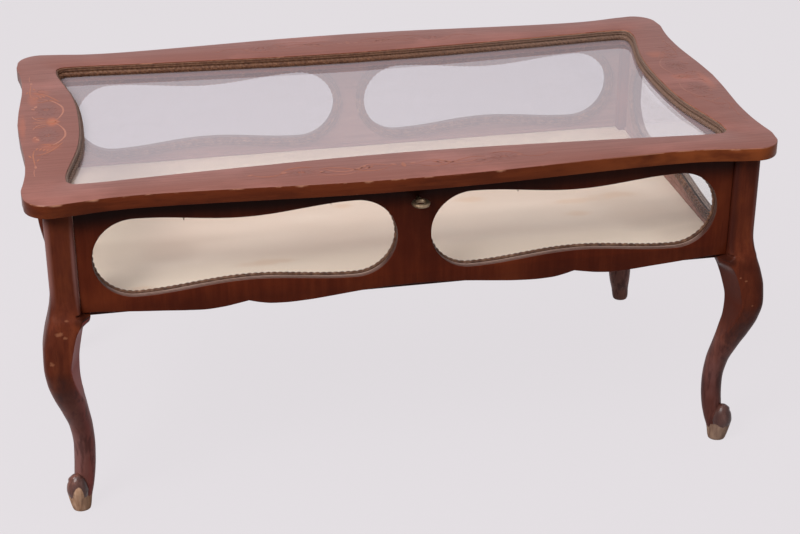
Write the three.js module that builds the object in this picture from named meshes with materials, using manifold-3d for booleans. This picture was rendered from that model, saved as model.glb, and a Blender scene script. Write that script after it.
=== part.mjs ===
// Collectors display table: a glazed table case on four cabriole legs, with a hinged glazed lid.
// Millimetres, +Z up, X along the length, -Y is the front with the lock.
// The origin is on the floor at the centre.

import * as THREE from 'three';
import { mergeVertices } from 'three/addons/utils/BufferGeometryUtils.js';
import Module from 'manifold-3d';

const wasm = await Module();
wasm.setup();

// Overall sizes
const lidLength = 1000;
const lidWidth = 570;
const tableHeight = 478;
const lidThickness = 19;
const endOverhang = 38;
const sideOverhang = 31;

// Clearances shared by all pieces
const seatGap = 0.3;
const cutOverrun = 2;

// Facet counts of the curved shapes
const longSideSteps = 12;
const shortSideSteps = 8;
const cornerSteps = 4;
const lobeSteps = 5;
const waistSteps = 7;
const roundSides = 12;
const keySides = 16;
const bowBarSides = 8;
const whorlRings = 8;

// Lid outline, as shares of the half length and the half width, for one quarter of the lid
const lidLongSideShares = [
  [0.0, 1.0], [0.12, 0.9965], [0.25, 0.987], [0.37, 0.973], [0.5, 0.958], [0.62, 0.9465], [0.72, 0.9425],
  [0.8, 0.95], [0.87, 0.97],
];
const lidShortSideShares = [
  [0.997, 0.8], [0.991, 0.72], [0.9855, 0.62], [0.984, 0.52], [0.985, 0.42], [0.99, 0.3], [0.996, 0.16],
  [1.0, 0.0],
];
const lidCornerRadius = 34;
const lidEarLengthShare = 0.994;
const lidEarWidthShare = 0.9825;

// Glazed opening of the lid
const railWidthAtMiddle = 85.5;
const endRailWidthAtMiddle = 82.5;
const openingSideFlare = 20.1;
const openingEndFlare = 24.4;
// Along the half length and share of the flare, then share of the flare and along the half width
const openingLongSideShares = [
  [0.0, 0.0], [0.24, 0.109], [0.46, 0.337], [0.68, 0.594], [0.84, 0.822], [0.96, 0.99],
];
const openingShortSideShares = [
  [0.983, 0.94], [0.82, 0.83], [0.547, 0.68], [0.239, 0.49], [0.051, 0.25], [0.0, 0.0],
];
const openingCornerRadius = 15;
const railJointFromCorner = 15;
const glassThickness = 3;
const glassRebateWidth = 6;
const glassRebateDepth = 3.5;
const lidBeadWidth = 4;
const lidBeadTopStep = 3;
const lidBeadFilletShare = 0.3;
const slipLap = 1.2;
const slipInset = 1;
const slipThickness = 4;

// Case panels
const panelThickness = 12;
const panelHeight = 147;
const apronDrop = 11.5;
const centreStile = 45;
const sideMargin = 43.5;
const endMargin = 57;
const lobeHeight = 110;
const waistHeight = 89.5;
const openingDropBelowLid = 75.5;

// Lower edge of each panel, from its middle to its end: share of the half length, share of the apron drop
const apronShares = [
  [0.0, 0.06], [0.058, 0.1], [0.116, 0.2], [0.18, 0.4], [0.253, 0.68], [0.322, 0.91], [0.385, 1.0],
  [0.433, 0.93],
  [0.471, 0.68], [0.505, 0.32], [0.541, 0.58], [0.58, 0.82], [0.633, 0.96], [0.686, 0.86], [0.756, 0.64],
  [0.828, 0.43], [0.908, 0.16], [0.966, 0.0], [1.0, 0.0],
];

// Panes and glazing beads of the case
const paneThickness = 2.5;
const paneLap = 5;
const beadLap = 11;
const beadLip = 3.6;
const beadThickness = 6;

// Legs
const postSize = 37;
const postProudEnd = 13;
const postProudSide = 6;
const kneeSize = 50;
const whorlReach = 14.5;
const whorlHeight = 19;
const whorlAboveFloor = 32;
const whorlPastCaseEnd = 1.5;
const whorlInsideCaseSide = 22;
const legSides = 20;

// One leg: share of its height, then how far its outer and inner faces lie past the case corner, as shares
// of the knee size, first along X and then along Y, and the squareness of the section
const legShares = [
  [1.0, 0.26, -0.512, 0.126, -0.646, 4],
  [0.76, 0.26, -0.512, 0.126, -0.646, 4],
  [0.735, 0.265, -0.53, 0.14, -0.66, 4],
  [0.705, 0.3, -0.6, 0.2, -0.69, 4],
  [0.6715, 0.37, -0.72, 0.35, -0.71, 3.8],
  [0.628, 0.49, -0.56, 0.46, -0.63, 3.3],
  [0.584, 0.568, -0.424, 0.54, -0.454, 3],
  [0.53, 0.586, -0.314, 0.58, -0.32, 2.8],
  [0.475, 0.544, -0.312, 0.46, -0.396, 2.6],
  [0.41, 0.42, -0.38, 0.212, -0.588, 2.4],
  [0.3445, 0.24, -0.468, -0.06, -0.77, 2.2],
  [0.279, 0.08, -0.536, -0.3, -0.92, 2.1],
  [0.2136, 0.02, -0.56, -0.424, -1.004, 2],
  [0.159, 0.04, -0.54, -0.46, -1.032, 2],
  [0.1155, 0.07, -0.5, -0.44, -1.01, 2],
  [0.072, 0.11, -0.43, -0.38, -0.92, 2],
  [0.039, 0.16, -0.352, -0.31, -0.82, 2],
  [0.008, 0.19, -0.31, -0.3, -0.79, 2],
  [0.0, 0.17, -0.29, -0.32, -0.77, 2],
];

// Base of the case
const liningDropBelowLid = 151;
const liningThickness = 1.7;
const boardThickness = 4;

// Hinges
const hingeLength = 50;
const hingeFromCentre = 280;
const leafThickness = 1.5;
const knuckleRadius = 3.5;
const pinRadius = 1.5;
const pinHeadRadius = 2.4;
const pinHeadThickness = 0.8;
const hingeClearOfPost = 1;
const leafInset = 1;
const movingKnuckleShare = 0.38;
const knuckleWebWidth = 5;
const screwPitchShare = 0.6;

// Screws
const screwShankRadius = 1.2;
const screwHeadRadius = 2.4;
const screwHeadDepth = 1.2;
const screwLength = 10;

// Lock and key
const keyAcross = 4;
const keyDropBelowLid = 23.5;
const keyholeRadius = 3;
const keySlotHalfWidth = 1.4;
const keyholeReach = 8.1;
const lockWall = 1;
const lockDepth = 7.4;
const lockLeft = 16.5;
const lockRight = 17.5;
const lockHeight = 34.7;
const lockPlateHalfWidth = 24;
const lockPlateThickness = 1.5;
const lockScrewAcross = 21;
const boltThickness = 2;
const boltFingerHeight = 3.5;
const boltFingerDrop = 5.4;
const boltBelowKey = 10;
const boltAboveKey = 12;
const boltLeft = 6;
const boltRight = 11.7;
const boltWindowLeft = 3.2;
const boltWindowRight = 9.2;
const boltWindowBelow = 8.6;
const boltWindowAbove = 3.3;
const boltNeckLeft = 2;
const stapleAcross = -11;
const stapleThickness = 2.4;
const stapleReach = 11;
const stapleWidth = 5.4;
const stapleEyeWidth = 3;
const stapleFoot = 1.6;
const slotClearance = 0.5;
const linkPlateLength = 34;
const linkPlateWidth = 12;
const linkScrewAcross = 12;
const keyShankRadius = 2.5;
const keyBitReach = 7.5;
const keyBitHalf = 1;
const keyBitWidth = 3.2;
const keyBowReach = 18.6;
const keyBowRadius = 9.3;
const keyBowBar = 3.1;
const keyCollarRadius = 3.6;
const keyCollarLength = 3;
const keyCollarClear = 5;
const keyEndClear = 0.7;

// Places that follow from the sizes above
const halfLength = lidLength / 2;
const halfWidth = lidWidth / 2;
const lidTop = tableHeight;
const lidUnder = lidTop - lidThickness;
const caseTop = lidUnder - seatGap;
const caseHalfLength = halfLength - endOverhang;
const caseHalfWidth = halfWidth - sideOverhang;
const innerHalfLength = caseHalfLength - panelThickness;
const innerHalfWidth = caseHalfWidth - panelThickness;
const postInnerX = caseHalfLength + postProudEnd - postSize;
const postInnerY = caseHalfWidth + postProudSide - postSize;
const openingHeight = lidUnder - openingDropBelowLid;
const panelBottom = caseTop - panelHeight;
const liningTop = lidUnder - liningDropBelowLid;
const boardTop = liningTop - liningThickness - seatGap;
const boardBottom = boardTop - boardThickness;
const frontOpeningLength = (2 * caseHalfLength - 2 * sideMargin - centreStile) / 2;
const frontOpeningCentre = centreStile / 2 + frontOpeningLength / 2;
const endOpeningLength = 2 * caseHalfWidth - 2 * endMargin;
const beadTop = lidTop - lidBeadTopStep;
const lidGlassTop = lidUnder + glassRebateDepth - seatGap;
const hingeAxisY = caseHalfWidth + postProudSide + hingeClearOfPost;
const hingeAxisZ = lidUnder - seatGap - knuckleRadius;

// Materials
const mahogany = new THREE.MeshStandardMaterial({ color: 0x5a2414, roughness: 0.35, metalness: 0 });
const fadedMahogany = new THREE.MeshStandardMaterial({ color: 0x9b6c64, roughness: 0.4, metalness: 0 });
const gildedBead = new THREE.MeshStandardMaterial({ color: 0x6b4a2c, roughness: 0.45, metalness: 0.1 });
const glass = new THREE.MeshStandardMaterial({
  color: 0xdfe3ea, roughness: 0.05, metalness: 0, opacity: 0.3, transparent: true,
});
const silk = new THREE.MeshStandardMaterial({ color: 0xded2c4, roughness: 0.8, metalness: 0 });
const pine = new THREE.MeshStandardMaterial({ color: 0xa98258, roughness: 0.7, metalness: 0 });
const brass = new THREE.MeshStandardMaterial({ color: 0xb08d4a, roughness: 0.35, metalness: 1 });
const steel = new THREE.MeshStandardMaterial({ color: 0x9a948c, roughness: 0.35, metalness: 1 });

// Solid helpers: a closed geometry becomes a solid that can be cut or joined, and goes back to a geometry
function toSolid(geometry) {
  const bare = new THREE.BufferGeometry();
  bare.setAttribute('position', geometry.getAttribute('position').clone());
  if (geometry.index) {
    bare.setIndex(geometry.index.clone());
  }
  const merged = mergeVertices(bare);
  const corners = merged.index.array;
  const triangles = [];
  for (let at = 0; at < corners.length; at += 3) {
    const [a, b, c] = corners.slice(at, at + 3);
    if (a !== b && b !== c && c !== a) {
      triangles.push(a, b, c);
    }
  }
  return new wasm.Manifold(new wasm.Mesh({
    numProp: 3,
    vertProperties: Float32Array.from(merged.getAttribute('position').array),
    triVerts: Uint32Array.from(triangles),
  }));
}

function toGeometry(solid) {
  const mesh = solid.getMesh();
  const geometry = new THREE.BufferGeometry();
  geometry.setAttribute('position', new THREE.BufferAttribute(Float32Array.from(mesh.vertProperties), 3));
  geometry.setIndex(new THREE.BufferAttribute(Uint32Array.from(mesh.triVerts), 1));
  return geometry;
}

function cut(geometry, tools) {
  let solid = toSolid(geometry);
  for (const tool of tools) {
    solid = solid.subtract(toSolid(tool));
  }
  return toGeometry(solid);
}

function join(geometries) {
  let solid = toSolid(geometries[0]);
  for (const geometry of geometries.slice(1)) {
    solid = solid.add(toSolid(geometry));
  }
  return toGeometry(solid);
}

function overlap(geometry, tool) {
  return toGeometry(toSolid(geometry).intersect(toSolid(tool)));
}

// Shape helpers
function block(x0, x1, y0, y1, z0, z1) {
  const geometry = new THREE.BoxGeometry(x1 - x0, y1 - y0, z1 - z0);
  return geometry.translate((x0 + x1) / 2, (y0 + y1) / 2, (z0 + z1) / 2);
}

function rod(radius, length, sides = roundSides) {
  return new THREE.CylinderGeometry(radius, radius, length, sides);
}

// A rod lying along X between two places
function rodAcross(radius, x0, x1) {
  return rod(radius, x1 - x0).rotateZ(Math.PI / 2).translate((x0 + x1) / 2, 0, 0);
}

function plate(points, thickness, holes = []) {
  const shape = new THREE.Shape(points);
  for (const hole of holes) {
    shape.holes.push(new THREE.Path(hole));
  }
  return new THREE.ExtrudeGeometry(shape, { depth: thickness, bevelEnabled: false });
}

// An upright plate: the outline's second number is height, and the plate's faces are at the two Y places
function uprightPlate(points, yFront, yBack, holes = []) {
  const geometry = plate(points, yBack - yFront, holes);
  return geometry.rotateX(Math.PI / 2).translate(0, yBack, 0);
}

// A closed outline from one quarter, mirrored into the other three.
// The quarter runs from the Y axis to the X axis.
function fourfold(quarter) {
  const right = quarter.slice(0, -1);
  const points = [];
  points.push(...right.map((p) => new THREE.Vector2(p.x, p.y)));
  points.push(...quarter.slice(1).reverse().map((p) => new THREE.Vector2(p.x, -p.y)));
  points.push(...right.map((p) => new THREE.Vector2(-p.x, -p.y)));
  points.push(...quarter.slice(1).reverse().map((p) => new THREE.Vector2(-p.x, p.y)));
  return points.reverse();
}

// Evenly spaced points of a smooth curve through knots
function smoothRun(knots, count) {
  const points = knots.map(([x, y]) => new THREE.Vector3(x, y, 0));
  const curve = new THREE.CatmullRomCurve3(points, false, 'centripetal');
  return curve.getSpacedPoints(count).map((p) => new THREE.Vector2(p.x, p.y));
}

function cornerArc(centreX, centreY, radius, steps) {
  const points = [];
  for (let step = 0; step <= steps; step += 1) {
    const angle = Math.PI / 2 - (step / steps) * Math.PI / 2;
    points.push(new THREE.Vector2(centreX + radius * Math.cos(angle), centreY + radius * Math.sin(angle)));
  }
  return points;
}

// Quarter outline with a swept long side, a round corner and a swept short side
function quarterOutline(longKnots, shortKnots, earX, earY, radius) {
  const longRun = smoothRun([...longKnots, [earX - radius, earY]], longSideSteps);
  const corner = cornerArc(earX - radius, earY - radius, radius, cornerSteps);
  const shortRun = smoothRun([[earX, earY - radius], ...shortKnots], shortSideSteps);
  return [...longRun.slice(0, -1), ...corner, ...shortRun.slice(1)];
}

// The same outline moved inwards by the same distance all round
function inset(points, distance) {
  const count = points.length;
  return points.map((point, index) => {
    const before = points[(index + count - 1) % count];
    const after = points[(index + 1) % count];
    const first = new THREE.Vector2(point.y - before.y, before.x - point.x).normalize();
    const second = new THREE.Vector2(after.y - point.y, point.x - after.x).normalize();
    const normal = first.clone().add(second).normalize();
    const reach = distance / Math.max(normal.dot(first), 0.5);
    return new THREE.Vector2(point.x - normal.x * reach, point.y - normal.y * reach);
  });
}

// A strip whose section follows a run of outline points; each section point is an inset and a height
function stripAlong(outline, section) {
  const count = outline.length;
  const sides = section.length;
  const positions = [];
  const rows = section.map(([distance]) => inset(outline.loop, distance));
  for (const index of outline.run) {
    section.forEach(([, height], side) => {
      positions.push(rows[side][index].x, rows[side][index].y, height);
    });
  }
  const triangles = [];
  for (let step = 0; step < outline.run.length - 1; step += 1) {
    for (let side = 0; side < sides; side += 1) {
      const next = (side + 1) % sides;
      const a = step * sides + side;
      const b = step * sides + next;
      const c = a + sides;
      const d = b + sides;
      triangles.push(a, b, c, b, d, c);
    }
  }
  const last = (outline.run.length - 1) * sides;
  const faces = THREE.ShapeUtils.triangulateShape(section.map(([x, y]) => new THREE.Vector2(x, y)), []);
  for (const [a, b, c] of faces) {
    triangles.push(a, c, b);
    triangles.push(last + a, last + b, last + c);
  }
  const geometry = new THREE.BufferGeometry();
  geometry.setAttribute('position', new THREE.Float32BufferAttribute(positions, 3));
  geometry.setIndex(triangles);
  return geometry;
}

// Outline of a waisted opening with round ends, drawn larger by grow all round
function waistedOutline(length, grow) {
  const radius = lobeHeight / 2;
  const centre = length / 2 - radius;
  const quarter = [];
  for (let step = 0; step < waistSteps; step += 1) {
    const along = step / waistSteps;
    const swell = (1 - Math.cos(Math.PI * along)) / 2;
    const height = waistHeight / 2 + (lobeHeight - waistHeight) / 2 * swell + grow;
    quarter.push(new THREE.Vector2(centre * along, height));
  }
  quarter.push(...cornerArc(centre, 0, radius + grow, lobeSteps));
  return fourfold(quarter);
}

function shifted(points, dx, dy) {
  return points.map((p) => new THREE.Vector2(p.x + dx, p.y + dy));
}

// Table of pieces
const table = new THREE.Group();
const lid = new THREE.Group();
const base = new THREE.Group();
table.add(lid, base);

function addPiece(group, name, geometry, material) {
  const mesh = new THREE.Mesh(toGeometry(toSolid(geometry)), material.clone());
  mesh.name = name;
  group.add(mesh);
}

// Screw with a flush head, standing up along Z with its head's face at zero; grow makes the hole for it
function screw(grow = 0) {
  const shank = screwShankRadius + grow;
  const head = screwHeadRadius + grow;
  const profile = [
    new THREE.Vector2(0, -screwLength - grow),
    new THREE.Vector2(shank, -screwLength + shank - grow),
    new THREE.Vector2(shank, -screwHeadDepth - grow),
    new THREE.Vector2(head, 0),
  ];
  if (grow > 0) {
    profile.push(new THREE.Vector2(head, cutOverrun));
    profile.push(new THREE.Vector2(0, cutOverrun));
  } else {
    profile.push(new THREE.Vector2(0, 0));
  }
  return new THREE.LatheGeometry(profile, roundSides).rotateX(Math.PI / 2);
}

// Lid frame: one outline, cut into two long rails and two end rails at the corners of the opening
const lidLoop = fourfold(quarterOutline(
  lidLongSideShares.map(([x, y]) => [x * halfLength, y * halfWidth]),
  lidShortSideShares.map(([x, y]) => [x * halfLength, y * halfWidth]),
  halfLength * lidEarLengthShare, halfWidth * lidEarWidthShare, lidCornerRadius,
));
const openingHalfLength = halfLength - endRailWidthAtMiddle;
const openingHalfWidth = halfWidth - railWidthAtMiddle;
const openingEarX = openingHalfLength + openingEndFlare;
const openingEarY = openingHalfWidth + openingSideFlare;
const openingLoop = fourfold(quarterOutline(
  openingLongSideShares.map(([x, y]) => [x * openingHalfLength, openingHalfWidth + y * openingSideFlare]),
  openingShortSideShares.map(([x, y]) => [openingHalfLength + x * openingEndFlare, y * openingHalfWidth]),
  openingEarX, openingEarY, openingCornerRadius,
));
const railJointY = openingEarY - railJointFromCorner;
const railJointX = openingEarX - openingCornerRadius * 2;

const rebateCut = glassRebateDepth + cutOverrun;
const lidFrame = cut(
  plate(lidLoop, lidThickness, [openingLoop]).translate(0, 0, lidUnder),
  [plate(inset(openingLoop, -glassRebateWidth), rebateCut).translate(0, 0, lidUnder - cutOverrun)],
);
const beyond = lidLength;
const belowLid = lidUnder - cutOverrun;
const aboveLid = lidTop + cutOverrun;
const leftEnd = block(-beyond, -railJointX, -railJointY, railJointY, belowLid, aboveLid);
const rightEnd = block(railJointX, beyond, -railJointY, railJointY, belowLid, aboveLid);
const longRails = cut(lidFrame, [leftEnd, rightEnd]);
const frontHalf = block(-beyond, beyond, -beyond, 0, 0, aboveLid);
const backHalf = block(-beyond, beyond, 0, beyond, 0, aboveLid);

// Hinge places, shared by the leaves, the pins and the pockets cut for them
const hingePlaces = [['left', -hingeFromCentre], ['right', hingeFromCentre]];
const leafReach = hingeAxisY - innerHalfWidth - leafInset;
const fixedLeafTop = caseTop - hingeAxisZ;
const movingLeafUnder = lidUnder - hingeAxisZ;
const movingLeafTop = movingLeafUnder + leafThickness;
const leafScrewY = (innerHalfWidth + caseHalfWidth) / 2 - hingeAxisY;
const leafScrewX = hingeLength / 2 * screwPitchShare;
const movingKnuckleHalf = hingeLength / 2 * movingKnuckleShare;

function screwsAt(places, z, up, grow) {
  return places.map(([x, y]) => {
    const geometry = screw(grow);
    if (up) {
      geometry.rotateX(Math.PI);
    }
    return geometry.translate(x, y, z);
  });
}

function leafScrewPlaces(centre) {
  return [[centre - leafScrewX, hingeAxisY + leafScrewY], [centre + leafScrewX, hingeAxisY + leafScrewY]];
}

// Lock places
const keyX = keyAcross;
const keyZ = lidUnder - keyDropBelowLid;
const lockBackY = -(innerHalfWidth + seatGap);
const lockFrontY = lockBackY - lockDepth;
const lockMiddleY = lockBackY - (lockDepth - lockWall) / 2;
const lockTop = caseTop - seatGap;
const lockBottom = lockTop - lockHeight;
const linkScrewPlaces = [
  [stapleAcross - linkScrewAcross, lockMiddleY],
  [stapleAcross + linkScrewAcross, lockMiddleY],
];

const linkPocket = block(
  stapleAcross - linkPlateLength / 2 - seatGap, stapleAcross + linkPlateLength / 2 + seatGap,
  lockMiddleY - linkPlateWidth / 2 - seatGap, lockMiddleY + linkPlateWidth / 2 + seatGap,
  lidUnder - cutOverrun, lidUnder + leafThickness + seatGap,
);
const movingLeafPockets = hingePlaces.map(([, x]) => block(
  x - hingeLength / 2 - seatGap, x + hingeLength / 2 + seatGap,
  hingeAxisY - leafReach - seatGap, hingeAxisY + knuckleWebWidth / 2 + seatGap,
  lidUnder - cutOverrun, hingeAxisZ + movingLeafTop + seatGap,
));
const movingScrewHoles = hingePlaces.flatMap(([, x]) => (
  screwsAt(leafScrewPlaces(x), lidUnder, true, seatGap)
));
const linkScrewHoles = screwsAt(linkScrewPlaces, lidUnder, true, seatGap);

const linkCuts = [linkPocket, ...linkScrewHoles];
const movingLeafCuts = [...movingLeafPockets, ...movingScrewHoles];
addPiece(lid, 'lid_rail_front', cut(overlap(longRails, frontHalf), linkCuts), fadedMahogany);
addPiece(lid, 'lid_rail_back', cut(overlap(longRails, backHalf), movingLeafCuts), fadedMahogany);
addPiece(lid, 'lid_rail_left', overlap(lidFrame, leftEnd), fadedMahogany);
addPiece(lid, 'lid_rail_right', overlap(lidFrame, rightEnd), fadedMahogany);

addPiece(
  lid, 'lid_glass',
  plate(inset(openingLoop, seatGap - glassRebateWidth), glassThickness)
    .translate(0, 0, lidGlassTop - glassThickness),
  glass,
);

// Beads above the glass and slips below it follow the opening, mitred at the middles of its corners
const sideRuns = {
  front: (p) => p.y < 0 && Math.abs(p.y) * openingHalfLength > Math.abs(p.x) * openingHalfWidth,
  back: (p) => p.y > 0 && Math.abs(p.y) * openingHalfLength > Math.abs(p.x) * openingHalfWidth,
  left: (p) => p.x < 0 && Math.abs(p.y) * openingHalfLength <= Math.abs(p.x) * openingHalfWidth,
  right: (p) => p.x > 0 && Math.abs(p.y) * openingHalfLength <= Math.abs(p.x) * openingHalfWidth,
};

// Indices of the loop points on one side, in order, with the first point of the next side to close the mitre
function runOf(loop, belongs) {
  const count = loop.length;
  const start = loop.findIndex((p, index) => belongs(p) && !belongs(loop[(index + count - 1) % count]));
  const run = [];
  for (let step = 0; belongs(loop[(start + step) % count]); step += 1) {
    run.push((start + step) % count);
  }
  run.push((start + run.length) % count);
  return run;
}

const beadStep = lidBeadWidth * lidBeadFilletShare;
const beadSection = [
  [seatGap, lidGlassTop + seatGap], [seatGap + lidBeadWidth, lidGlassTop + seatGap],
  [seatGap + lidBeadWidth, beadTop - beadStep * 2], [seatGap + beadStep, beadTop - beadStep],
  [seatGap + beadStep, beadTop], [seatGap, beadTop],
];
const slipReach = glassRebateWidth + slipLap;
const slipUnder = caseTop - slipThickness;
const slipSection = [
  [-slipReach, slipUnder], [slipInset, slipUnder], [slipInset, caseTop], [-slipReach, caseTop],
];
for (const [side, belongs] of Object.entries(sideRuns)) {
  const outline = { loop: openingLoop, run: runOf(openingLoop, belongs) };
  addPiece(lid, `lid_bead_${side}`, stripAlong(outline, beadSection), gildedBead);
  addPiece(lid, `lid_glass_slip_${side}`, stripAlong(outline, slipSection), mahogany);
}

// Case panels: shaped lower edge, waisted openings, and a rebate inside each opening for its pane
function apronDepth(share) {
  const index = Math.max(apronShares.findIndex(([at]) => at >= share), 1);
  const [from, low] = apronShares[index - 1];
  const [to, high] = apronShares[index];
  return apronDrop * (low + (high - low) * (share - from) / (to - from));
}

// A board covers the span between two shares of the panel's half length, negative to the left
function boardOutline(half, from, to) {
  const outward = apronShares.map(([share]) => share);
  const lower = [...outward.slice(1).reverse().map((share) => -share), ...outward]
    .filter((share) => share >= from && share <= to)
    .map((share) => new THREE.Vector2(share * half, panelBottom - apronDepth(Math.abs(share))));
  return [...lower, new THREE.Vector2(to * half, caseTop), new THREE.Vector2(from * half, caseTop)];
}

const rebateDepth = paneThickness + seatGap;

function boardBlank(outline, centre, length) {
  const hole = shifted(waistedOutline(length, 0), centre, openingHeight);
  const rebate = uprightPlate(
    shifted(waistedOutline(length, paneLap + seatGap), centre, openingHeight),
    panelThickness - rebateDepth, panelThickness + cutOverrun,
  );
  return cut(uprightPlate(outline, 0, panelThickness, [hole]), [rebate]);
}

// Each panel's blank has its outer face at zero and its inner face towards +Y
const longPanelHalf = postInnerX - seatGap;
const endPanelHalf = postInnerY - seatGap;

const keyhole = join([
  rod(keyholeRadius, panelThickness, keySides),
  block(-keySlotHalfWidth, keySlotHalfWidth, -panelThickness / 2, panelThickness / 2, -keyholeReach, 0),
]).translate(keyX, 0, keyZ);
const lockPocket = block(
  -lockLeft - seatGap, lockRight + seatGap, lockFrontY - seatGap, cutOverrun - innerHalfWidth,
  lockBottom - seatGap, caseTop + cutOverrun,
);
const lockPlateFrontY = seatGap - innerHalfWidth;
const lockPlateBackY = lockPlateFrontY + lockPlateThickness;

function lockScrew(side, grow) {
  return screw(grow).rotateX(-Math.PI / 2).translate(side * lockScrewAcross, lockPlateBackY, keyZ);
}

const lockScrewHoles = [lockScrew(-1, seatGap), lockScrew(1, seatGap)];
const lockCuts = [keyhole.clone().translate(0, -caseHalfWidth, 0), lockPocket, ...lockScrewHoles];
const hingeCuts = [
  ...hingePlaces.map(([, x]) => block(
    x - hingeLength / 2 - seatGap, x + hingeLength / 2 + seatGap,
    hingeAxisY - leafReach - seatGap, caseHalfWidth + cutOverrun,
    caseTop - leafThickness - seatGap, caseTop + cutOverrun,
  )),
  ...hingePlaces.flatMap(([, x]) => screwsAt(leafScrewPlaces(x), caseTop, false, seatGap)),
];

// A long panel is two boards that meet at the middle, each with its own opening; an end panel is one board
function longBoards(lowerLabel, upperLabel) {
  return [[lowerLabel, -frontOpeningCentre, -1, 0], [upperLabel, frontOpeningCentre, 0, 1]];
}

const endBoards = [['', 0, -1, 1]];
const caseSides = [
  {
    name: 'front', turn: 0, x: 0, y: -caseHalfWidth, half: longPanelHalf, length: frontOpeningLength,
    boards: longBoards('_left', '_right'), cuts: lockCuts,
  },
  {
    name: 'back', turn: Math.PI, x: 0, y: caseHalfWidth, half: longPanelHalf, length: frontOpeningLength,
    boards: longBoards('_right', '_left'), cuts: hingeCuts,
  },
  {
    name: 'left_end', turn: -Math.PI / 2, x: -caseHalfLength, y: 0, half: endPanelHalf,
    length: endOpeningLength, boards: endBoards, cuts: [],
  },
  {
    name: 'right_end', turn: Math.PI / 2, x: caseHalfLength, y: 0, half: endPanelHalf,
    length: endOpeningLength, boards: endBoards, cuts: [],
  },
];
for (const { name, turn, x, y, half, length, boards, cuts } of caseSides) {
  const placed = (geometry) => geometry.rotateZ(turn).translate(x, y, 0);
  for (const [label, centre, from, to] of boards) {
    const blank = boardBlank(boardOutline(half, from, to), centre, length);
    addPiece(base, `${name}_panel${label}`, cut(placed(blank), cuts), mahogany);
    const outline = (grow) => shifted(waistedOutline(length, grow), centre, openingHeight);
    const pane = uprightPlate(outline(paneLap), panelThickness - paneThickness, panelThickness);
    addPiece(base, `${name}_pane${label}`, placed(pane), glass);
    const beadSeat = panelThickness + seatGap;
    const bead = uprightPlate(outline(beadLap), beadSeat, beadSeat + beadThickness, [outline(-beadLip)]);
    addPiece(base, `${name}_glazing_bead${label}`, placed(bead), gildedBead);
  }
}

// Legs: one corner is drawn, cut clear of the panels and the board, then mirrored to the other corners
function legBlank() {
  const rows = legShares.map(([height, outerX, innerX, outerY, innerY, square]) => {
    const middleX = caseHalfLength + kneeSize * (outerX + innerX) / 2;
    const middleY = caseHalfWidth + kneeSize * (outerY + innerY) / 2;
    const reachX = kneeSize * (outerX - innerX) / 2;
    const reachY = kneeSize * (outerY - innerY) / 2;
    const row = [];
    for (let step = 0; step < legSides; step += 1) {
      const angle = (step / legSides) * 2 * Math.PI;
      const alongX = Math.sign(Math.cos(angle)) * Math.abs(Math.cos(angle)) ** (2 / square);
      const alongY = Math.sign(Math.sin(angle)) * Math.abs(Math.sin(angle)) ** (2 / square);
      row.push([middleX + reachX * alongX, middleY + reachY * alongY, caseTop * height]);
    }
    return row;
  });
  const positions = rows.flat(2);
  const triangles = [];
  for (let level = 0; level < rows.length - 1; level += 1) {
    for (let step = 0; step < legSides; step += 1) {
      const next = (step + 1) % legSides;
      const a = level * legSides + step;
      const b = level * legSides + next;
      triangles.push(a, a + legSides, b, b, a + legSides, b + legSides);
    }
  }
  const foot = (rows.length - 1) * legSides;
  for (let step = 1; step < legSides - 1; step += 1) {
    triangles.push(0, step, step + 1);
    triangles.push(foot, foot + step + 1, foot + step);
  }
  const geometry = new THREE.BufferGeometry();
  geometry.setAttribute('position', new THREE.Float32BufferAttribute(positions, 3));
  geometry.setIndex(triangles);
  return geometry;
}

function mirrored(geometry, signX, signY) {
  const copy = geometry.clone().scale(signX, signY, 1);
  if (signX * signY < 0) {
    copy.setIndex([...copy.index.array].reverse());
  }
  return copy;
}

const whorl = new THREE.SphereGeometry(whorlReach, roundSides, whorlRings).rotateX(Math.PI / 2);
whorl.scale(1, 1, whorlHeight / whorlReach);
whorl.translate(caseHalfLength + whorlPastCaseEnd, caseHalfWidth - whorlInsideCaseSide, whorlAboveFloor);
const overPanelEdge = panelBottom - seatGap;
const underBoard = boardBottom - seatGap;
const aboveLeg = caseTop + cutOverrun;
const backLeg = cut(join([legBlank(), whorl]), [
  block(0, postInnerX, 0, beyond, overPanelEdge, aboveLeg),
  block(0, beyond, 0, postInnerY, overPanelEdge, aboveLeg),
  block(0, postInnerX, 0, innerHalfWidth, underBoard, aboveLeg),
  block(0, innerHalfLength, 0, postInnerY, underBoard, aboveLeg),
]);
for (const [depth, signY] of [['front', -1], ['back', 1]]) {
  for (const [side, signX] of [['left', -1], ['right', 1]]) {
    addPiece(base, `leg_${depth}_${side}`, mirrored(backLeg, signX, signY), mahogany);
  }
}

// Base board and its silk lining, notched at the corners for the posts
function notchedBoard(grow, bottom, top) {
  const x = innerHalfLength + grow;
  const y = innerHalfWidth + grow;
  const notchX = postInnerX + grow;
  const notchY = postInnerY + grow;
  const quarter = [
    new THREE.Vector2(0, y), new THREE.Vector2(notchX, y), new THREE.Vector2(notchX, notchY),
    new THREE.Vector2(x, notchY), new THREE.Vector2(x, 0),
  ];
  return plate(fourfold(quarter), top - bottom).translate(0, 0, bottom);
}

addPiece(base, 'base_board', notchedBoard(-seatGap, boardBottom, boardTop), pine);
addPiece(base, 'base_lining', notchedBoard(-seatGap, liningTop - liningThickness, liningTop), silk);

// Hinges, drawn about an axis at zero and then put in place
const boreRadius = pinRadius + seatGap;
const outerKnuckleStart = movingKnuckleHalf + seatGap;
const hingeBore = rodAcross(boreRadius, -hingeLength, hingeLength);

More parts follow.
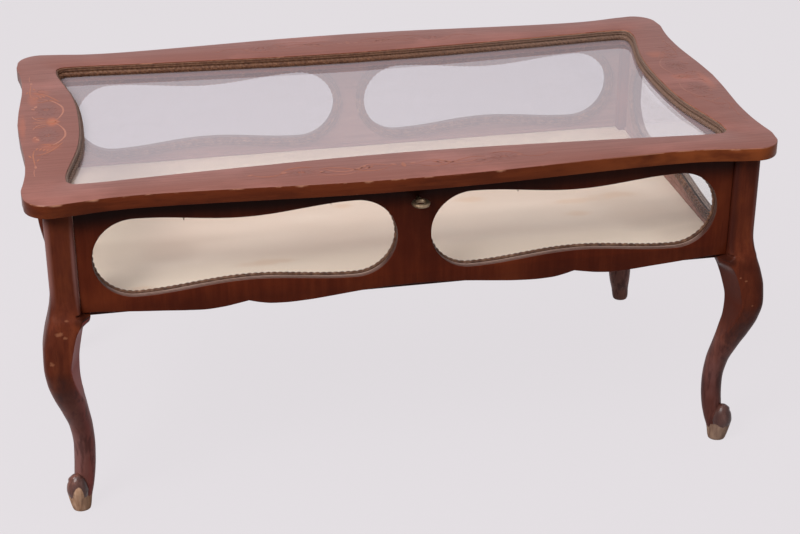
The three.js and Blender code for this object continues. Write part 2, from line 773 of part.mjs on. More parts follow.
function fixedLeaf() {
  const half = hingeLength / 2;
  const leaf = join([
    block(-half, half, -leafReach, 0, fixedLeafTop - leafThickness, fixedLeafTop),
    rodAcross(knuckleRadius, -half, half),
  ]);
  const middle = block(
    -outerKnuckleStart, outerKnuckleStart, -knuckleRadius - seatGap, knuckleRadius + seatGap,
    -knuckleRadius - seatGap, knuckleRadius + seatGap,
  );
  return cut(leaf, [middle, hingeBore]);
}

function movingLeaf() {
  const half = hingeLength / 2;
  const leaf = join([
    block(-half, half, -leafReach, knuckleWebWidth / 2, movingLeafUnder, movingLeafTop),
    block(-movingKnuckleHalf, movingKnuckleHalf, -knuckleWebWidth / 2, knuckleWebWidth / 2, 0, movingLeafTop),
    rodAcross(knuckleRadius, -movingKnuckleHalf, movingKnuckleHalf),
  ]);
  return cut(leaf, [hingeBore]);
}

function hingePin() {
  const half = hingeLength / 2 + seatGap;
  return join([
    rodAcross(pinRadius, -half, half),
    rodAcross(pinHeadRadius, -half - pinHeadThickness, -half),
    rodAcross(pinHeadRadius, half, half + pinHeadThickness),
  ]);
}

for (const [side, x] of hingePlaces) {
  const placed = (geometry) => geometry.translate(x, hingeAxisY, hingeAxisZ);
  const places = leafScrewPlaces(x);
  const fixedHoles = screwsAt(places, caseTop, false, seatGap);
  const movingHoles = screwsAt(places, lidUnder, true, seatGap);
  addPiece(base, `hinge_leaf_case_${side}`, cut(placed(fixedLeaf()), fixedHoles), brass);
  addPiece(base, `hinge_pin_${side}`, placed(hingePin()), brass);
  addPiece(lid, `hinge_leaf_lid_${side}`, cut(placed(movingLeaf()), movingHoles), brass);
  screwsAt(places, caseTop, false, 0).forEach((geometry, index) => {
    addPiece(base, `hinge_screw_case_${side}_${index + 1}`, geometry, brass);
  });
  screwsAt(places, lidUnder, true, 0).forEach((geometry, index) => {
    addPiece(lid, `hinge_screw_lid_${side}_${index + 1}`, geometry, brass);
  });
}

// Link plate of the lock, let into the lid, with a staple that drops into the lock
const stapleBottom = lidUnder - stapleReach;
const fingerTop = lidUnder - boltFingerDrop;
const staple = block(
  stapleAcross - stapleThickness / 2, stapleAcross + stapleThickness / 2,
  lockMiddleY - stapleWidth / 2, lockMiddleY + stapleWidth / 2, stapleBottom, lidUnder,
);
const stapleEye = block(
  stapleAcross - stapleThickness, stapleAcross + stapleThickness,
  lockMiddleY - stapleEyeWidth / 2, lockMiddleY + stapleEyeWidth / 2,
  stapleBottom + stapleFoot, fingerTop + stapleEyeWidth / 2 - boltThickness / 2,
);
const linkPlate = block(
  stapleAcross - linkPlateLength / 2, stapleAcross + linkPlateLength / 2,
  lockMiddleY - linkPlateWidth / 2, lockMiddleY + linkPlateWidth / 2, lidUnder, lidUnder + leafThickness,
);
addPiece(lid, 'lock_link_plate', cut(join([linkPlate, staple]), [stapleEye, ...linkScrewHoles]), brass);
screwsAt(linkScrewPlaces, lidUnder, true, 0).forEach((geometry, index) => {
  addPiece(lid, `lock_link_screw_${index + 1}`, geometry, brass);
});

// Lock case: a box open towards the inside, with the keyhole in its front wall and a slot for the staple
const stapleSlot = block(
  stapleAcross - stapleThickness / 2 - slotClearance, stapleAcross + stapleThickness / 2 + slotClearance,
  lockMiddleY - stapleWidth / 2 - slotClearance, lockBackY + cutOverrun,
  lockTop - lockWall * 2, lockTop + cutOverrun,
);
const lockCavity = block(
  lockWall - lockLeft, lockRight - lockWall, lockFrontY + lockWall, lockBackY + cutOverrun,
  lockBottom + lockWall, lockTop - lockWall,
);
addPiece(base, 'lock_case', cut(
  block(-lockLeft, lockRight, lockFrontY, lockBackY, lockBottom, lockTop),
  [lockCavity, stapleSlot, keyhole.clone().translate(0, lockFrontY, 0)],
), steel);
addPiece(base, 'lock_plate', cut(
  block(-lockPlateHalfWidth, lockPlateHalfWidth, lockPlateFrontY, lockPlateBackY, lockBottom, lockTop),
  lockScrewHoles,
), brass);
addPiece(base, 'lock_screw_left', lockScrew(-1, 0), brass);
addPiece(base, 'lock_screw_right', lockScrew(1, 0), brass);

// Bolt: drawn unlocked; it slides towards -X, into the staple's eye, when the key turns
function boltBlock(x0, x1, z0, z1, thickness) {
  return block(keyX + x0, keyX + x1, lockMiddleY - thickness / 2, lockMiddleY + thickness / 2, z0, z1);
}

const fingerBack = stapleAcross + stapleThickness / 2 + slotClearance - keyX;
const bolt = join([
  boltBlock(-boltLeft, boltRight, keyZ - boltBelowKey, keyZ + boltAboveKey, boltThickness),
  boltBlock(-boltNeckLeft, boltRight, keyZ, fingerTop, boltThickness),
  boltBlock(fingerBack, boltRight, fingerTop - boltFingerHeight, fingerTop, boltThickness),
]);
const boltWindow = boltBlock(
  -boltWindowLeft, boltWindowRight, keyZ - boltWindowBelow, keyZ + boltWindowAbove,
  boltThickness + cutOverrun,
);
addPiece(base, 'lock_bolt', cut(bolt, [boltWindow]), steel);

// Key: the bow lies flat and the bit points towards +X while the lock is open
const bowY = -caseHalfWidth - keyBowReach;
const collarY = -caseHalfWidth - keyCollarClear - keyCollarLength / 2;
const bitY = lockMiddleY;
const keyEnd = lockBackY - keyEndClear;
const keyLength = keyEnd - bowY - keyBowRadius;
const key = join([
  rod(keyShankRadius, keyLength, keySides).translate(0, keyEnd - keyLength / 2, 0),
  block(0, keyBitReach, bitY - keyBitWidth / 2, bitY + keyBitWidth / 2, -keyBitHalf, keyBitHalf),
  rod(keyCollarRadius, keyCollarLength, keySides).translate(0, collarY, 0),
  new THREE.TorusGeometry(keyBowRadius, keyBowBar, bowBarSides, keySides).translate(0, bowY, 0),
]).translate(keyX, 0, keyZ);
addPiece(base, 'key', key, steel);

export default table;
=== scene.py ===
"""Collectors display table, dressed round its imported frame: timber, inlay, carved beads, glass and silk."""

import itertools
import math

import bmesh
import bpy
import numpy as np
from mathutils import Matrix, Vector
from mathutils.geometry import tessellate_polygon


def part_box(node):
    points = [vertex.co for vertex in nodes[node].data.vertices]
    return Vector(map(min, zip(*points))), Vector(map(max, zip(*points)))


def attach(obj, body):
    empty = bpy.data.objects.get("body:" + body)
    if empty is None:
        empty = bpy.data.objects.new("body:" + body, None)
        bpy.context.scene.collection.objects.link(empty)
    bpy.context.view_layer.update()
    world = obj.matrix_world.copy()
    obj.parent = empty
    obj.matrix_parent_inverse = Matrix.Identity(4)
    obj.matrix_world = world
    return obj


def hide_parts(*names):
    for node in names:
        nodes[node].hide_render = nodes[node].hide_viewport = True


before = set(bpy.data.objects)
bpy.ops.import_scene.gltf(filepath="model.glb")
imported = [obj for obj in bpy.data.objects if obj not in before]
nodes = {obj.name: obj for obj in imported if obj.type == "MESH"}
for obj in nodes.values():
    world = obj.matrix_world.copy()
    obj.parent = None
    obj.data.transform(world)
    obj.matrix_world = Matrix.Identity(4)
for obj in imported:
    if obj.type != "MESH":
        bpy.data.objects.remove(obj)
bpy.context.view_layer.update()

MM = 0.001

# Sizes in millimetres: half the lid and its opening, half the case, its panels, posts and knees
LID_X, LID_Y = 500.0, 285.0
OPENING_X, OPENING_Y = 417.5, 199.5
CASE_X, CASE_Y, CASE_TOP = 462.0, 254.0, 458.7
PANEL_FOOT, PANEL_THICK = 311.7, 12.0
INSIDE_X, INSIDE_Y = CASE_X - PANEL_THICK, CASE_Y - PANEL_THICK
POST_X, POST_Y, KNEE = 437.75, 222.75, 50.0
RING_LAP = 11.0
KEYHOLE = (4.0, 435.5)

# Levels in metres that stains and wear are placed on
LID_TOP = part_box("lid_rail_front")[1].z
SILK_TOP = 0.308
KNEE_LOW, KNEE_HIGH = 0.175, 0.313


# Camera at the photograph's place, solved from the lid, the openings and the feet
def add_camera():
    data = bpy.data.cameras.new("camera")
    data.sensor_width = 36.0
    data.lens = 79.7465
    camera = bpy.data.objects.new("camera", data)
    right = Vector((0.979560606, -0.201147373, 0.000867876))
    up = Vector((0.0884748393, 0.434727342, 0.896205524))
    back = Vector((-0.180646677, -0.877810841, 0.443638260))
    place = Matrix((right, up, back)).transposed().to_4x4()
    place.translation = Vector((-0.442504, -2.308863, 1.375753))
    camera.matrix_world = place
    bpy.context.scene.collection.objects.link(camera)
    bpy.context.scene.camera = camera


add_camera()


# Colours are written as screen values from 0 to 255 and turned into linear light
def shade(red, green, blue):
    def linear(value):
        share = value / 255
        return share / 12.92 if share <= 0.04045 else ((share + 0.055) / 1.055) ** 2.4
    return (linear(red), linear(green), linear(blue), 1.0)


def shades(*colours):
    return [shade(*colour) for colour in colours]


class Graph:
    """Shader nodes of a material or a world, with short calls to add them and join them."""

    def __init__(self, name, kind="materials"):
        self.holder = getattr(bpy.data, kind).new(name)
        self.holder.use_nodes = True
        self.tree = self.holder.node_tree
        self.tree.nodes.clear()

    def add(self, kind, feed=None, **settings):
        node = self.tree.nodes.new("ShaderNode" + kind)
        for key, value in settings.items():
            setattr(node, key, value)
        for key, value in (feed or {}).items():
            if isinstance(value, bpy.types.NodeSocket):
                self.tree.links.new(value, node.inputs[key])
            else:
                node.inputs[key].default_value = value
        return node

    def ramp(self, factor, stops):
        node = self.add("ValToRGB", {"Fac": factor})
        band = node.color_ramp
        while len(band.elements) < len(stops):
            band.elements.new(1.0)
        for element, (place, colour) in zip(band.elements, stops):
            element.position = place
            element.color = colour
        return node.outputs["Color"]

    def grey_ramp(self, factor, *stops):
        return self.ramp(factor, [(place, (value, value, value, 1.0)) for place, value in stops])

    def mix(self, share, first, second):
        return self.add("Mix", {0: share, 6: first, 7: second}, data_type="RGBA").outputs[2]

    def math(self, operation, first, second=0.0):
        return self.add("Math", {0: first, 1: second}, operation=operation).outputs[0]

    def product(self, total, *others):
        for value in others:
            total = self.math("MULTIPLY", total, value)
        return total

    def most(self, total, *others):
        for value in others:
            total = self.math("MAXIMUM", total, value)
        return total

    def tinted(self, tone, colour, *shares):
        """The tone, mixed towards a colour by the product of the shares."""
        return self.mix(self.product(*shares), tone, shade(*colour))

    def veined(self, tone, colour, pattern, *stops):
        """The tone, mixed towards a colour by a pattern; each stop is a value of the pattern and a share."""
        return self.tinted(tone, colour, self.grey_ramp(pattern, *stops))

    def stretched(self, scale, shift):
        place = self.add("TexCoord").outputs["Object"]
        return self.add("Mapping", {"Vector": place, "Scale": scale, "Location": shift}).outputs["Vector"]

    def noise(self, scale, detail=4.0, roughness=0.55, shift=(0.0, 0.0, 0.0)):
        """Noise with a scale along each axis, per metre."""
        return self.add("TexNoise", {
            "Vector": self.stretched(scale, shift), "Scale": 1.0, "Detail": detail, "Roughness": roughness,
        }).outputs["Fac"]

    def axis(self, name):
        return self.add("SeparateXYZ", {"Vector": self.add("TexCoord").outputs["Object"]}).outputs[name]

    def facing(self, name):
        return self.add("SeparateXYZ", {"Vector": self.add("NewGeometry").outputs["Normal"]}).outputs[name]

    def between(self, value, low, high):
        """0 at low and 1 at high, eased; low may be the larger, which turns it round."""
        return self.add(
            "MapRange", {"Value": value, "From Min": low, "From Max": high}, interpolation_type="SMOOTHSTEP",
        ).outputs["Result"]

    def along(self, name, low, high):
        return self.between(self.axis(name), low, high)

    def turned(self, name, low, high):
        return self.between(self.facing(name), low, high)

    def spot(self, centre, reach, ragged, fineness):
        """1 at a place in metres and 0 beyond its reach along each axis, with a ragged rim."""
        scale = tuple(1 / value for value in reach)
        shift = tuple(-value * share for value, share in zip(centre, scale))
        near = self.add("VectorMath", {0: self.stretched(scale, shift)}, operation="LENGTH").outputs["Value"]
        rim = self.product(self.math("SUBTRACT", self.noise((fineness,) * 3), 0.5), 2.0 * ragged)
        return self.between(self.math("ADD", near, rim), 1.0, 0.25)

    def flat_spots(self, places, level, ragged, fineness):
        """Spots on a level face; each place is a centre and a reach along X and Y."""
        return self.most(*(
            self.spot((x, y, level), (wide, deep, 1.0), ragged, fineness) for x, y, wide, deep in places
        ))

    def bump(self, height, distance, strength):
        return self.add("Bump", {"Height": height, "Distance": distance, "Strength": strength}).outputs["Normal"]

    def seen(self):
        """1 for rays from the camera, straight, mirrored or through glass, and 0 for light on other things."""
        path = self.add("LightPath").outputs
        rays = self.math("ADD", path["Is Camera Ray"], path["Is Glossy Ray"])
        return self.math("MINIMUM", self.math("ADD", rays, path["Is Transmission Ray"]), 1.0)

    def blend(self, share, first, second):
        return self.add("MixShader", {0: share, 1: first.outputs[0], 2: second.outputs[0]})

    def finish(self, shader, output="OutputMaterial"):
        self.add(output, {"Surface": shader.outputs[0]})
        return self.holder

    def solid(self, feed):
        return self.finish(self.add("BsdfPrincipled", feed))


# Timber: long fibres and short pores along the grain, and broad patches of figure
def wood(name, tones, grain="X", rough=(0.34, 0.5), coarse=1.0, shift=0.0, gloss_level=0.18, wear=None):
    g = Graph(name)
    dark, middle, light = tones
    scale = tuple(6.0 if axis == grain else 95.0 * coarse for axis in "XYZ")
    fibre = g.noise(scale, 7.0, 0.62, (shift,) * 3)
    figure = g.noise(tuple(0.16 * value for value in scale), 3.0, shift=(shift + 3.1, 0.7, 1.3))
    pores = g.noise(tuple(5.0 * value for value in scale), 2.0, 0.7)
    tone = g.ramp(fibre, [(0.3, dark), (0.5, middle), (0.72, light)])
    tone = g.mix(g.grey_ramp(figure, (0.3, 0.0), (0.7, 0.55)), tone, middle)
    tone = g.mix(g.grey_ramp(pores, (0.3, 0.42), (0.46, 0.0)), tone, dark)
    gloss = g.grey_ramp(fibre, (0.25, rough[1]), (0.75, rough[0]))
    height = g.math("ADD", g.product(fibre, 0.5), g.product(pores, 0.5))
    if wear:
        tone, gloss = wear(g, tone, gloss)
    return g.solid({
        "Base Color": tone, "Roughness": gloss, "Normal": g.bump(height, 0.00025, 0.35),
        "Specular IOR Level": gloss_level,
    })


# Rubbed upper edge of the lid: chips of paler wood along the top arris, partly wear and partly a painted highlight, a
# painted highlight run along that arris on the right, and figure that turns more orange to the right
def rubbed_edge_and_highlight(g, tone, gloss):
    clouds = g.noise((17.0, 17.0, 40.0), 3.0, shift=(0.0, 2.0, 0.0))
    tone = g.veined(tone, (64, 24, 10), clouds, (0.36, 0.35), (0.52, 0.0))
    tone = g.tinted(tone, (160, 84, 43), g.along("X", 0.05, 0.5), g.between(clouds, 0.2, 0.6), 0.75)
    runs = g.noise((34.0, 34.0, 80.0), 5.0, 0.7, (4.0, 1.0, 0.0))
    # Chips of paler wood along the top arris: partly wear and partly a painted highlight
    chips = g.product(g.between(runs, 0.53, 0.62), g.along("Z", LID_TOP - 0.0026, LID_TOP - 0.0009))
    bruises = g.most(*(g.spot((x, -0.28, LID_TOP), (length, 0.2, 0.0042), 0.5, 120.0) for x, length in (
        (-0.458, 0.014), (-0.41, 0.009), (-0.152, 0.011), (-0.065, 0.009), (0.107, 0.012), (0.428, 0.013),
    )))
    # Painted highlight: a pale run along the top arris on the right
    worn = g.product(
        g.along("Z", LID_TOP - 0.0022, LID_TOP - 0.0007), g.along("X", 0.16, 0.34), g.between(runs, 0.38, 0.5),
    )
    return g.tinted(tone, (206, 146, 118), g.most(chips, bruises, worn), 0.8), gloss


# Edge of an opening: pale and dusty where it lies flat, partly as painted light from above, with painted shade where
# it climbs and beside the panel's face
def darker_upright(g, tone, gloss):
    outer = g.most(*(
        g.between(g.math("ABSOLUTE", g.axis(name)), low, high)
        for name, low, high in (("Y", 0.244, 0.253), ("X", 0.452, 0.461))
    ))
    # Painted shade near the panel's outer face and on faces that climb
    tone = g.tinted(tone, (84, 50, 42), outer, 0.8)
    return g.tinted(tone, (70, 42, 34), g.turned("Z", 0.95, 0.6)), gloss


# Clouded figure of a panel: broad darker and lighter patches, and a painted shadow under the lid on the front panel's
# outer face, weaker to the right
def clouded_with_shadow(g, tone, gloss):
    clouds = g.noise((13.0, 13.0, 8.0), 4.0, 0.6, (0.4, 1.0, 2.0))
    tone = g.veined(tone, (66, 22, 11), clouds, (0.34, 0.65), (0.5, 0.0))
    tone = g.veined(tone, (120, 55, 29), clouds, (0.52, 0.0), (0.74, 0.5))
    # Painted shadow of the lid's overhang on the upper front panel, weaker to the right
    shadow_strength = g.math("SUBTRACT", 0.92, g.product(g.along("X", 0.0, 0.3), 0.22))
    front = g.product(g.along("Y", -0.2, -0.24), g.turned("Z", 0.8, 0.3))
    return g.tinted(tone, (24, 8, 4), g.along("Z", 0.417, 0.448), front, shadow_strength), gloss


# Stains of the lid's end rails round the inlay: colour, share and places
LID_PATCHES = (
    ((98, 58, 58), 0.4, ((-0.459, 0.048, 0.018, 0.036), (-0.461, -0.047, 0.018, 0.036))),
    ((84, 46, 34), 0.45, ((0.459, 0.048, 0.017, 0.03), (0.461, -0.047, 0.017, 0.03))),
    ((178, 92, 52), 0.75, ((-0.453, 0.001, 0.011, 0.02),)),
    ((164, 84, 52), 0.4, (
        (-0.466, 0.114, 0.017, 0.018), (-0.458, -0.09, 0.019, 0.018), (-0.493, -0.011, 0.006, 0.06),
        (-0.476, -0.061, 0.007, 0.016), (-0.477, 0.09, 0.01, 0.033), (0.453, 0.0, 0.02, 0.016),
        (0.447, 0.1, 0.02, 0.02), (0.482, -0.02, 0.01, 0.05),
    )),
)


# Sun-faded top: pinker and greyer clouds over the grain, and the stains
def faded_clouds(g, tone, gloss):
    clouds = g.noise((6.0, 11.0, 6.0), 5.0, 0.6)
    tone = g.veined(tone, (124, 64, 48), clouds, (0.35, 0.5), (0.5, 0.0))
    tone = g.veined(tone, (160, 96, 84), clouds, (0.5, 0.0), (0.7, 0.55))
    for colour, share, places in LID_PATCHES:
        tone = g.tinted(tone, colour, g.flat_spots(places, LID_TOP, 0.3, 60.0), share)
    return tone, gloss


# Scuffs on the front of the legs: place across and up, and reach across and up
LEG_SCUFFS = (
    (-0.467, 0.295, 0.007, 0.003), (-0.46, 0.29, 0.004, 0.0025), (-0.457, 0.311, 0.003, 0.002),
    (-0.48, 0.256, 0.004, 0.004), (0.46, 0.28, 0.003, 0.0015), (0.452, 0.285, 0.002, 0.0015),
    (0.471, 0.243, 0.002, 0.0015), (0.44, 0.17, 0.003, 0.002),
)


# Legs: front feet worn to bare wood at the bottom, dusty round the whorl with a painted sheen on the lower leg, a few
# scuffs on the knees, painted light on the front left leg's right side and on the back feet, and the posts' painted
# light and shade
def leg_wear_and_light(g, tone, gloss, dust=0.85, side_light=0.75):
    height = g.axis("Z")
    clouds = g.noise((24.0, 24.0, 9.0), shift=(1.4, 0.0, 0.0))
    tone = g.veined(tone, (62, 22, 12), clouds, (0.36, 0.7), (0.52, 0.0))
    tone = g.veined(tone, (150, 74, 38), clouds, (0.54, 0.0), (0.72, 0.5))
    # Painted light: the right-facing side of the front left leg made lighter and redder
    inner = g.product(g.turned("X", 0.0, 0.8), g.along("X", 0.0, -0.1), g.along("Y", 0.0, -0.1))
    tone = g.tinted(tone, (172, 84, 74), inner, g.between(height, 0.3, 0.2), side_light)
    # Grey on the lower leg: partly dust and partly a painted sheen
    mottled = g.grey_ramp(clouds, (0.4, 0.3), (0.62, 1.0))
    dull = g.tinted(tone, (130, 90, 87), g.between(height, 0.24, 0.08), dust, mottled)
    # Painted light: the back feet made paler where they stand in shade
    dull = g.tinted(dull, (192, 138, 126), g.along("Y", 0.0, 0.05), g.between(height, 0.14, 0.03), 0.85)
    streaks = g.noise((90.0, 90.0, 16.0), 4.0, 0.6, (2.1, 0.0, 0.0))
    streaked = g.grey_ramp(streaks, (0.4, 0.6), (0.52, 0.0))
    dull = g.tinted(dull, (62, 32, 29), streaked, g.between(height, 0.28, 0.18))
    fibre = g.noise((260.0, 260.0, 22.0))
    raw = g.ramp(fibre, [(0.3, shade(158, 118, 92)), (0.5, shade(192, 148, 118)), (0.7, shade(214, 172, 142))])
    raw = g.tinted(raw, (140, 118, 106), g.along("X", -0.1, 0.3), 0.6)
    raw = g.veined(raw, (112, 84, 70), streaks, (0.36, 0.55), (0.47, 0.0))
    ragged = g.noise((70.0, 70.0, 30.0), 4.0, 0.6, (0.3, 0.0, 0.0))
    edge = g.math("ADD", height, g.product(g.math("SUBTRACT", ragged, 0.5), 0.045))
    tongue = g.spot((-0.4625, -0.246, 0.024), (0.0095, 0.02, 0.024), 0.3, 60.0)
    bare = g.most(g.between(edge, 0.026, 0.023), g.between(tongue, 0.1, 0.25))
    bare = g.product(bare, g.along("Y", 0.0, -0.05))
    tone = g.mix(bare, dull, raw)
    scuffs = g.most(*(g.spot((x, -0.281, z), (wide, 0.05, tall), 0.9, 260.0) for x, z, wide, tall in LEG_SCUFFS))
    tone = post_light_and_shade(g, g.tinted(tone, (196, 132, 98), scuffs, 0.3), height)
    return tone, g.mix(bare, gloss, (0.75, 0.75, 0.75, 1.0))


# Post above a front knee: painted shade beside the panel and on the bracket below it, and painted highlights,
# reflections and light along its arrises and flank
def post_light_and_shade(g, tone, height):
    across = g.axis("X")
    # Painted shadow on the bracket at each lower end of the front panel
    bracket = g.most(*(g.spot((x, -0.25, 0.307), (0.017, 0.05, 0.011), 0.2, 40.0) for x in (-0.436, 0.436)))
    tone = g.tinted(tone, (30, 10, 6), bracket, 0.85)
    # Painted shade on the posts beside the panel
    post = g.product(g.between(height, 0.29, 0.33), g.along("Y", -0.2, -0.22))
    beside = g.product(g.between(across, 0.45, 0.442), g.between(across, 0.3, 0.4))
    deep = g.most(g.product(g.between(across, -0.438, -0.446), 0.4), beside)
    tone = g.tinted(tone, (54, 20, 14), deep, 0.85, post)
    # Painted reflection: a pale rim along each post's outer arris
    rim = g.product(g.between(g.math("ABSOLUTE", across), 0.466, 0.4745), g.along("Y", -0.246, -0.254), 0.5)
    tone = g.tinted(tone, (170, 124, 118), rim, g.between(height, 0.32, 0.36), post)
    # Painted highlight along the front left post's inner arris
    arris = g.spot((-0.4405, -0.26, 0.385), (0.0055, 0.04, 0.085), 0.2, 30.0)
    tone = g.tinted(tone, (170, 122, 116), arris, 0.5)
    # Painted light on the front left post's flank beside the panel
    lit_flank = g.product(g.between(across, -0.4395, -0.4385), g.between(across, -0.3, -0.4))
    return g.tinted(
        tone, (206, 150, 140), lit_flank, g.along("Y", -0.245, -0.25), g.between(height, 0.32, 0.34), 0.8,
    )


# Whorl: the leg's wear, with little of its dust and painted sheen and none of its painted side light
def worn_whorl(g, tone, gloss):
    return leg_wear_and_light(g, tone, gloss, 0.1, 0.0)


# Pared inner side of a knee: redder and dusty, as painted light, on the front left leg, and darker, as painted shade,
# on the others
def pared_side(g, tone, gloss):
    tone, gloss = leg_wear_and_light(g, tone, gloss)
    # Painted light on the front left knee, and painted shade on the other knees
    others = g.most(g.along("X", -0.1, 0.1), g.along("Y", -0.1, 0.1))
    aim = g.mix(others, shade(176, 76, 66), shade(80, 35, 24))
    return g.mix(g.product(g.along("Z", KNEE_LOW, 0.215), 0.75), tone, aim), gloss


# Inlay: a little stronger on the left, and faded into the ground to the right and the back
def faded_inlay(g, tone, gloss):
    away = g.most(g.along("X", -0.4, 0.35), g.along("Y", 0.1, 0.25))
    tone = g.tinted(tone, (121, 65, 51), 0.42)
    return g.tinted(tone, (121, 65, 51), away, 0.72), gloss


KNEE_TONES = shades((78, 31, 18), (104, 47, 28), (128, 65, 40))
mahogany_upright = wood(
    "mahogany_upright", shades((72, 26, 12), (88, 34, 17), (102, 44, 23)), "Z", gloss_level=0.07, wear=clouded_with_shadow,
)
mahogany_long = wood("mahogany_long", shades((66, 24, 12), (96, 38, 20), (114, 50, 28)))
# Pale opening edges: partly dust and partly painted light from above
sill_wood = wood(
    "opening_edge", shades((124, 99, 87), (160, 132, 119), (182, 156, 143)), rough=(0.3, 0.45), wear=darker_upright,
)
lid_top = wood(
    "faded_mahogany_lid", shades((106, 53, 40), (121, 65, 51), (133, 77, 62)), "X", (0.3, 0.42), 2.6,
    gloss_level=0.5, wear=faded_clouds,
)
lid_edge = wood(
    "lid_edge_mahogany", shades((80, 32, 13), (104, 45, 21), (124, 60, 30)), "X", (0.3, 0.42),
    gloss_level=0.1, wear=rubbed_edge_and_highlight,
)
# Inner faces of the case and the lining's fillets: mahogany made paler, as painted light under the lid
inner_wood = wood(
    "inner_mahogany", shades((118, 79, 66), (144, 103, 89), (158, 119, 105)), "X", (0.6, 0.75), gloss_level=0.05,
)
leg_wood = wood("leg_mahogany", KNEE_TONES, "Z", (0.34, 0.46), gloss_level=0.09, wear=leg_wear_and_light)
# A copy of the leg's wood for the pared inner faces, which carries painted light and shade
pared_wood = wood("pared_mahogany", KNEE_TONES, "Z", (0.34, 0.46), gloss_level=0.05, wear=pared_side)
whorl_wood = wood(
    "whorl_mahogany", shades((56, 32, 26), (92, 60, 52), (134, 98, 90)), "Z", (0.2, 0.4), 2.2,
    gloss_level=0.36, wear=worn_whorl,
)


# Stained and gilded carving: rubbed brown, with paler worn places, dustier to the right and the front
def carved(name, tones, patches, dusty=0.0):
    g = Graph(name)
    rubbed = g.noise((patches,) * 3, 5.0, 0.65)
    fibre = g.noise((420.0, 420.0, 420.0), 2.0)
    tone = g.ramp(rubbed, list(zip((0.3, 0.5, 0.72), tones)))
    tone = g.mix(g.grey_ramp(fibre, (0.35, 0.4), (0.5, 0.0)), tone, tones[0])
    right_or_front = g.most(g.along("X", -0.1, 0.4), g.along("Y", 0.12, -0.12))
    return g.solid({
        "Base Color": g.tinted(tone, (124, 103, 92), right_or_front, dusty),
        "Roughness": g.grey_ramp(rubbed, (0.3, 0.5), (0.7, 0.3)),
        "Normal": g.bump(rubbed, 0.0002, 0.3), "Specular IOR Level": 0.16,
    })


gilded = carved("gilded_moulding", shades((70, 43, 32), (98, 65, 47), (122, 88, 66)), 240.0, 0.45)
stained = carved("stained_moulding", shades((60, 34, 22), (108, 70, 48), (150, 110, 84)), 120.0)


def metal(name, colour, dull, rough):
    g = Graph(name)
    patches = g.noise((60.0, 60.0, 60.0), 5.0, 0.6)
    return g.solid({
        "Base Color": g.ramp(patches, [(0.35, dull), (0.6, colour)]), "Metallic": 1.0,
        "Roughness": g.grey_ramp(patches, (0.3, rough + 0.2), (0.7, rough)),
        "Normal": g.bump(patches, 0.0002, 0.25),
    })


brass = metal("dulled_brass", shade(176, 142, 84), shade(110, 84, 50), 0.3)
steel = metal("dulled_steel", shade(150, 130, 106), shade(96, 76, 58), 0.42)


# Glass: a clear sheet with a film of dust, which shows more and mirrors more towards a low angle
def sheet_glass(name, clear_tone, film, tint, shine_share):
    g = Graph(name)
    front = g.math("SUBTRACT", 1.0, g.add("NewGeometry").outputs["Backfacing"])
    unshadowed = g.product(front, g.math("SUBTRACT", 1.0, g.add("LightPath").outputs["Is Shadow Ray"]))
    reflecting = g.product(g.add("Fresnel", {"IOR": 1.5}).outputs[0], shine_share, unshadowed)
    slant = g.add("LayerWeight", {"Blend": 0.5}).outputs["Facing"]
    smear = g.math("ADD", g.product(g.noise((5.0, 14.0, 9.0), 2.0), 0.4), 0.8)
    dusting = g.math("ADD", g.product(smear, film[0]), g.product(slant, film[1]))
    clear = g.add("BsdfTransparent", {"Color": clear_tone})
    dust = g.add("BsdfDiffuse", {"Color": tint})
    shine = g.add("BsdfGlossy", {"Color": (1.0, 1.0, 1.0, 1.0), "Roughness": 0.03})
    return g.finish(g.blend(reflecting, g.blend(g.product(dusting, unshadowed), clear, dust), shine))


lid_glass = sheet_glass("lid_sheet_glass", (0.985, 0.99, 0.99, 1.0), (0.14, 0.54), shade(190, 175, 182), 1.3)
pane_glass = sheet_glass("pane_glass", (0.975, 0.98, 0.98, 1.0), (0.02, 0.05), shade(226, 224, 232), 0.9)
back_pane_glass = sheet_glass("back_pane_glass", (0.88, 0.9, 0.92, 1.0), (0.02, 0.05), shade(226, 224, 236), 0.9)

# Old stains of the silk, and patches of painted shade: centre and reach along X and Y
SILK_STAINS = (
    (0.291, -0.03, 0.06, 0.012), (0.277, -0.074, 0.03, 0.012), (0.354, -0.02, 0.05, 0.014),
    (0.14, 0.004, 0.03, 0.014), (-0.185, -0.144, 0.05, 0.012), (-0.36, -0.19, 0.03, 0.012),
    (0.2, 0.13, 0.05, 0.02), (-0.05, 0.02, 0.02, 0.01),
)
SILK_SHADE_PATCHES = (
    (-0.307, -0.085, 0.06, 0.045), (0.35, -0.03, 0.075, 0.05), (0.37, -0.075, 0.075, 0.055),
    (0.39, -0.12, 0.075, 0.055), (0.41, -0.17, 0.07, 0.055),
)


